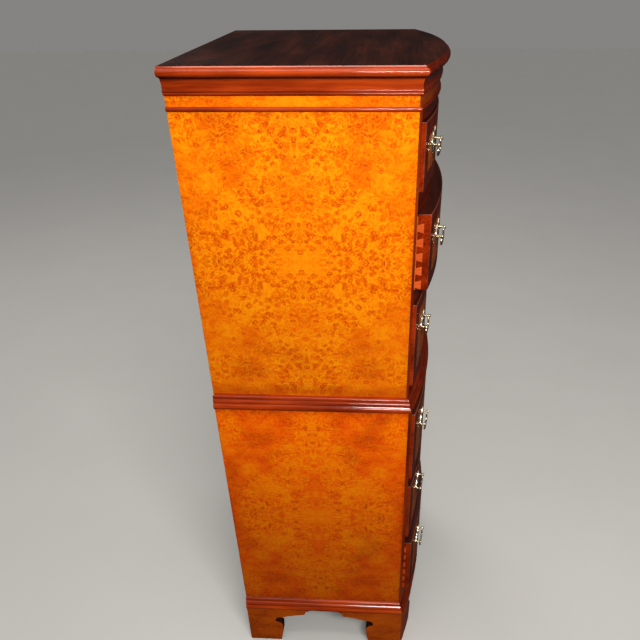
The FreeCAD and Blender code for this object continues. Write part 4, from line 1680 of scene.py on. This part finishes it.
@dataclass
class SwanNeckHandles:
    """Handles on every drawer: a shaped plate, two turned posts, and a bail that swings in them.
    They are laid out from the bails' hinges, -Y outwards. A post's table is (radius, reach)."""

    face_radius: float = 1.0265
    spacing: float = 0.052
    reach: float = 0.01
    plate_width: float = 0.068
    plate_height: float = 0.05
    plate_drop: float = 0.022
    plate_thickness: float = 0.0013
    plate_round: float = 0.45
    head: float = 0.004
    rod: float = 0.002
    rod_end: float = 0.94
    rod_swell: float = 0.2
    drop: float = 0.02
    elbow: float = 0.0035
    neck: float = 0.007
    corner: float = 0.0065
    stand_in: float = 0.005
    pin: float = 0.0016
    swing: float = math.radians(35)
    bend_steps: int = 8
    rod_resolution: int = 5
    middle_shares: Span = (0.66, 0.33)
    plate_steps: int = 6
    sides: int = 28
    plate_shares: tuple[Corner, ...] = (
        (0.0, 0.0, -0.3), (0.2, 0.14, 0.2), (0.6, 0.06, -0.35), (0.84, 0.2, -0.5), (1.0, 0.46, 0.16),
        (0.92, 0.66, -0.4), (0.6, 0.84, 0.24), (0.2, 0.82, -0.3), (0.0, 1.0))
    post_shares: tuple[Corner, ...] = (
        (0.0, 0.0), (1.05, 0.0), (1.05, 0.06), (0.95, 0.1), (0.6, 0.14), (0.5, 0.2), (0.5, 0.3),
        (0.62, 0.4), (0.5, 0.47), (0.72, 0.5), (0.72, 0.53), (0.55, 0.56), (0.83, 0.62), (0.97, 0.7),
        (1.0, 0.78), (0.94, 0.87), (0.8, 0.93), (0.55, 0.975), (0.0, 1.0))

    def plate(self) -> Solid:
        """The back plate, bent to the drawer front's bow.

        Returns:
            Its mesh.
        """
        half = outline(self.plate_shares, self.plate_width / 2, self.plate_height, self.plate_steps)
        right = [p for p in half if p.x > MERGE or p.y in (0.0, self.plate_height)]
        left = [Vector((-p.x, p.y)) for p in reversed(right[1:-1])]
        points = [(p.x, self.reach, p.y - self.plate_drop) for p in right + left]
        bm = slab(points, Vector((0, -self.plate_thickness, 0)))
        rim = {e for f in bm.faces if faces_front(f) for e in f.edges}
        soften(bm, rim, self.plate_thickness * self.plate_round)
        for vert in bm.verts:
            vert.co.y += vert.co.x ** 2 / (2 * self.face_radius)
        return bm

    def post(self, x: float) -> Solid:
        """One turned post with its ball head, round the bail's pin.

        Args:
            x: where it stands across the handle.

        Returns:
            Its mesh.
        """
        bm = bmesh.new()
        start = self.reach - self.plate_thickness
        length = start + self.head
        verts = [bm.verts.new((r * self.head, start - out * length, 0)) for r, out in self.post_shares]
        edges = [bm.edges.new(pair) for pair in zip(verts, verts[1:])]
        bmesh.ops.spin(
            bm, geom=verts + edges, cent=(0, 0, 0), axis=(0, 1, 0), angle=math.tau, steps=self.sides,
            use_merge=True, use_duplicate=False)
        seal(bm)
        bmesh.ops.translate(bm, verts=bm.verts, vec=(x, 0, 0))
        return bm

    def trace(self) -> list[Vector]:
        """The bail's centre line from one pin to its middle.

        Returns:
            Points along its bends and straight runs.
        """
        sine, cosine = math.sin(self.swing), math.cos(self.swing)
        down = self.elbow + self.neck * sine
        run = (self.drop - down - self.corner * (1 + sine)) / cosine
        place, heading = Vector((self.spacing / 2 + self.pin, 0.0)), Vector((-1.0, 0.0))
        points = [place.copy()]
        for radius, turn, ahead in (
            (0, 0, self.pin + self.stand_in), (self.elbow, math.pi / 2, 0), (self.neck, self.swing, run),
            (-self.corner, -math.pi / 2 - self.swing, 0),
        ):
            for _ in range(self.bend_steps if radius else 0):
                centre = place + radius * Vector((-heading.y, heading.x))
                turning = Matrix.Rotation(turn / self.bend_steps, 2)
                place = centre + turning @ (place - centre)
                heading = turning @ heading
                points.append(place.copy())
            if ahead:
                place = place + heading * ahead
                points.append(place.copy())
        return points + [Vector((place.x * share, place.y)) for share in self.middle_shares]

    def bail(self) -> Solid:
        """The swan-neck bail, a little thicker at its middle.

        Returns:
            Its mesh.
        """
        half = self.trace()
        line = half + [Vector((0.0, half[-1].y))] + [Vector((-p.x, p.y)) for p in reversed(half)]
        curve = bpy.data.curves.new("bail_line", "CURVE")
        curve.dimensions = "3D"
        curve.bevel_depth = self.rod
        curve.bevel_resolution = self.rod_resolution
        curve.use_fill_caps = True
        spline = curve.splines.new("POLY")
        spline.points.add(len(line) - 1)
        for index, (point, place) in enumerate(zip(spline.points, line)):
            point.co = (place.x, 0.0, place.y, 1.0)
            middle = 1 - abs(2 * index / (len(line) - 1) - 1)
            point.radius = self.rod_end + self.rod_swell * middle ** 3
        holder = bpy.data.objects.new("bail_line", curve)
        mesh = bpy.data.meshes.new_from_object(holder)
        bm = bmesh.new()
        bm.from_mesh(mesh)
        bpy.data.objects.remove(holder)
        bpy.data.curves.remove(curve)
        bpy.data.meshes.remove(mesh)
        seal(bm)
        return bm

    def build(self) -> None:
        """Hangs two handles on every drawer, where the hinges are."""
        half = self.spacing / 2
        mounts: dict[str, list[Solid]] = {}
        for joint in frame["joints"]:
            if joint["type"] != "hinge":
                continue
            along = -Vector(joint["axis"])
            place = Matrix((along, UP.cross(along), UP)).transposed().to_4x4()
            place.translation = Vector(joint["pos_m"])
            posts = joined([self.plate(), self.post(-half), self.post(half)])
            posts.transform(place)
            mounts.setdefault(joint["parent"], []).append(posts)
            bail = self.bail()
            bail.transform(place)
            node = joint["child"]
            Piece(node + "_rod", node, "handle_metal", (node,), (BRASS,), crease=50.0).show(bail)
        for body, pair in mounts.items():
            node = body + "_handle_mounts"
            piece = Piece(node + "_turned", body, "handle_metal", (node,), (BRASS,), crease=38.0)
            piece.show(joined(pair))


# Camera and studio


@dataclass(frozen=True)
class PhotographCamera:
    """The photograph's viewpoint: place and angles in the frame, and focal length and optical
    centre in pixels of the square picture."""

    place: Triple = (-1.34363, -0.12062, 1.63289)
    yaw: float = 0.06259
    pitch: float = 0.59355
    roll: float = 0.01304
    focal_pixels: float = 615.72
    centre_pixels: Span = (350.95, 376.27)
    picture_pixels: float = 640.0
    sensor: float = 36.0

    def build(self) -> None:
        """Sets the camera up and makes it the scene's."""
        level = math.cos(self.pitch)
        ahead = Vector((level * math.cos(self.yaw), level * math.sin(self.yaw), -math.sin(self.pitch)))
        right = ahead.cross(UP).normalized()
        down = ahead.cross(right)
        tilt = math.cos(self.roll) * right + math.sin(self.roll) * down
        fall = math.cos(self.roll) * down - math.sin(self.roll) * right
        lens = bpy.data.cameras.new("photograph_view")
        lens.sensor_width = self.sensor
        lens.lens = self.focal_pixels * self.sensor / self.picture_pixels
        lens.shift_x = 0.5 - self.centre_pixels[0] / self.picture_pixels
        lens.shift_y = self.centre_pixels[1] / self.picture_pixels - 0.5
        camera = in_scene("photograph_view", lens)
        turned = Matrix((tilt, -fall, -ahead)).transposed().to_4x4()
        camera.matrix_world = Matrix.Translation(self.place) @ turned
        bpy.context.scene.camera = camera


@dataclass(frozen=True)
class Softbox:
    """One soft studio light: where it stands, what it points at, its size and its power."""

    name: str
    place: Triple
    target: Triple
    size: Span
    power: float
    tint: Triple = (1.0, 0.97, 0.93)

    def build(self) -> None:
        """Puts the light in the scene."""
        light = bpy.data.lights.new(self.name, "AREA")
        light.shape = "RECTANGLE"
        light.size, light.size_y = self.size
        light.energy = self.power
        light.color = self.tint
        shown = in_scene(self.name, light)
        shown.location = self.place
        shown.rotation_mode = "QUATERNION"
        shown.rotation_quaternion = (Vector(self.target) - Vector(self.place)).to_track_quat("-Z", "Y")


@dataclass(frozen=True)
class Surroundings:
    """What surrounds the studio, set apart for what the camera sees, what the polish mirrors and
    what lights the surfaces. The last two grow towards the zenith."""

    backdrop: float = 0.233
    mirrored_low: float = 0.017
    mirrored_high: float = 1.2
    mirrored_from: float = 0.55
    sky: float = 0.75
    sky_power: float = 2.0
    tint: Triple = (1.0, 0.985, 0.96)

    def build(self) -> None:
        """Sets the world up."""
        world = bpy.data.worlds.new("surroundings")
        world.use_nodes = True
        world.node_tree.nodes.clear()
        graph = Graph(world.node_tree)
        rays = graph.add("LightPath").outputs
        height = graph.parts(graph.add("TexCoord").outputs["Generated"])[2]
        height = graph.math("MAXIMUM", height, 0.0)
        lighting = graph.times(graph.math("POWER", height, self.sky_power), self.sky)
        mirrored_sky = graph.add("MapRange", {
            0: height, 1: self.mirrored_from, 2: 1.0, 3: self.mirrored_low, 4: self.mirrored_high,
        }).outputs[0]
        level = graph.blend(rays["Is Glossy Ray"], lighting, mirrored_sky)
        level = graph.blend(rays["Is Camera Ray"], level, self.backdrop)
        light = graph.add("Background", {"Color": self.tint, "Strength": level})
        graph.add("OutputWorld", {"Surface": light.outputs[0]})
        bpy.context.scene.world = world


@dataclass(frozen=True)
class Studio:
    """A plain pale floor under soft lights. The key stands beside the camera, so that the side
    that it faces is bright and the bowed fronts stay deep."""

    floor_half: float = 14.0
    lights: tuple[Softbox, ...] = (
        Softbox("key_light", (-1.65, -0.45, 2.0), (-0.28, 0.02, 1.0), (0.95, 0.22), 37.0),
        Softbox("top_light", (-1.0, 0.0, 3.2), (-0.3, 0.0, 1.5), (1.6, 0.25), 9.0),
        Softbox("front_light", (0.9, -2.8, 2.4), (0.0, 0.0, 0.8), (1.6, 1.2), 6.0),
        Softbox("far_light", (2.0, 1.6, 3.4), (0.0, 0.2, 0.7), (1.4, 1.4), 26.0),
    )

    def build(self) -> None:
        """Lays the floor, sets the lights and the surroundings, and shows colours as they are."""
        bm = bmesh.new()
        bmesh.ops.create_grid(bm, x_segments=1, y_segments=1, size=self.floor_half)
        mesh = mesh_of("studio_floor", bm)
        mesh.materials.append(FLOOR.material())
        floor = in_scene("studio_floor", mesh)
        for light in self.lights:
            light.build()
        Surroundings().build()
        bpy.context.scene.view_settings.view_transform = "Standard"


def main() -> None:
    """Builds the camera, every sub-assembly and the studio."""
    logging.basicConfig(level=logging.INFO, format="%(name)s: %(message)s")
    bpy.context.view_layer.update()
    PhotographCamera().build()
    side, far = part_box("upper_side_left")
    upper = BowPlan.over(half=-side.x, depth=CASE_DEPTH, rise=BOW_RISE, back=far.y)
    lower_half = -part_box("lower_side_left")[0].x
    lower = upper.stepped(lower_half - upper.half)
    waist, base, frieze = (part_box(node) for node in ("waist_moulding", "base_moulding", "frieze"))
    Mouldings(upper, lower).build()
    TopBoard(upper).build()
    Case("upper", upper, BRIGHT_BURR.matched(upper, waist[1].z, frieze[0].z), SOFTWOOD).build()
    Case("lower", lower, DEEP_SHADED_BURR.matched(lower, base[1].z, waist[0].z), LOW_SOFTWOOD).build()
    BracketFeet(lower).build()
    for number in range(1, DRAWERS + 1):
        Drawer(number, upper.half).build()
    SwanNeckHandles().build()
    Studio().build()


if __name__ == "__main__":
    main()
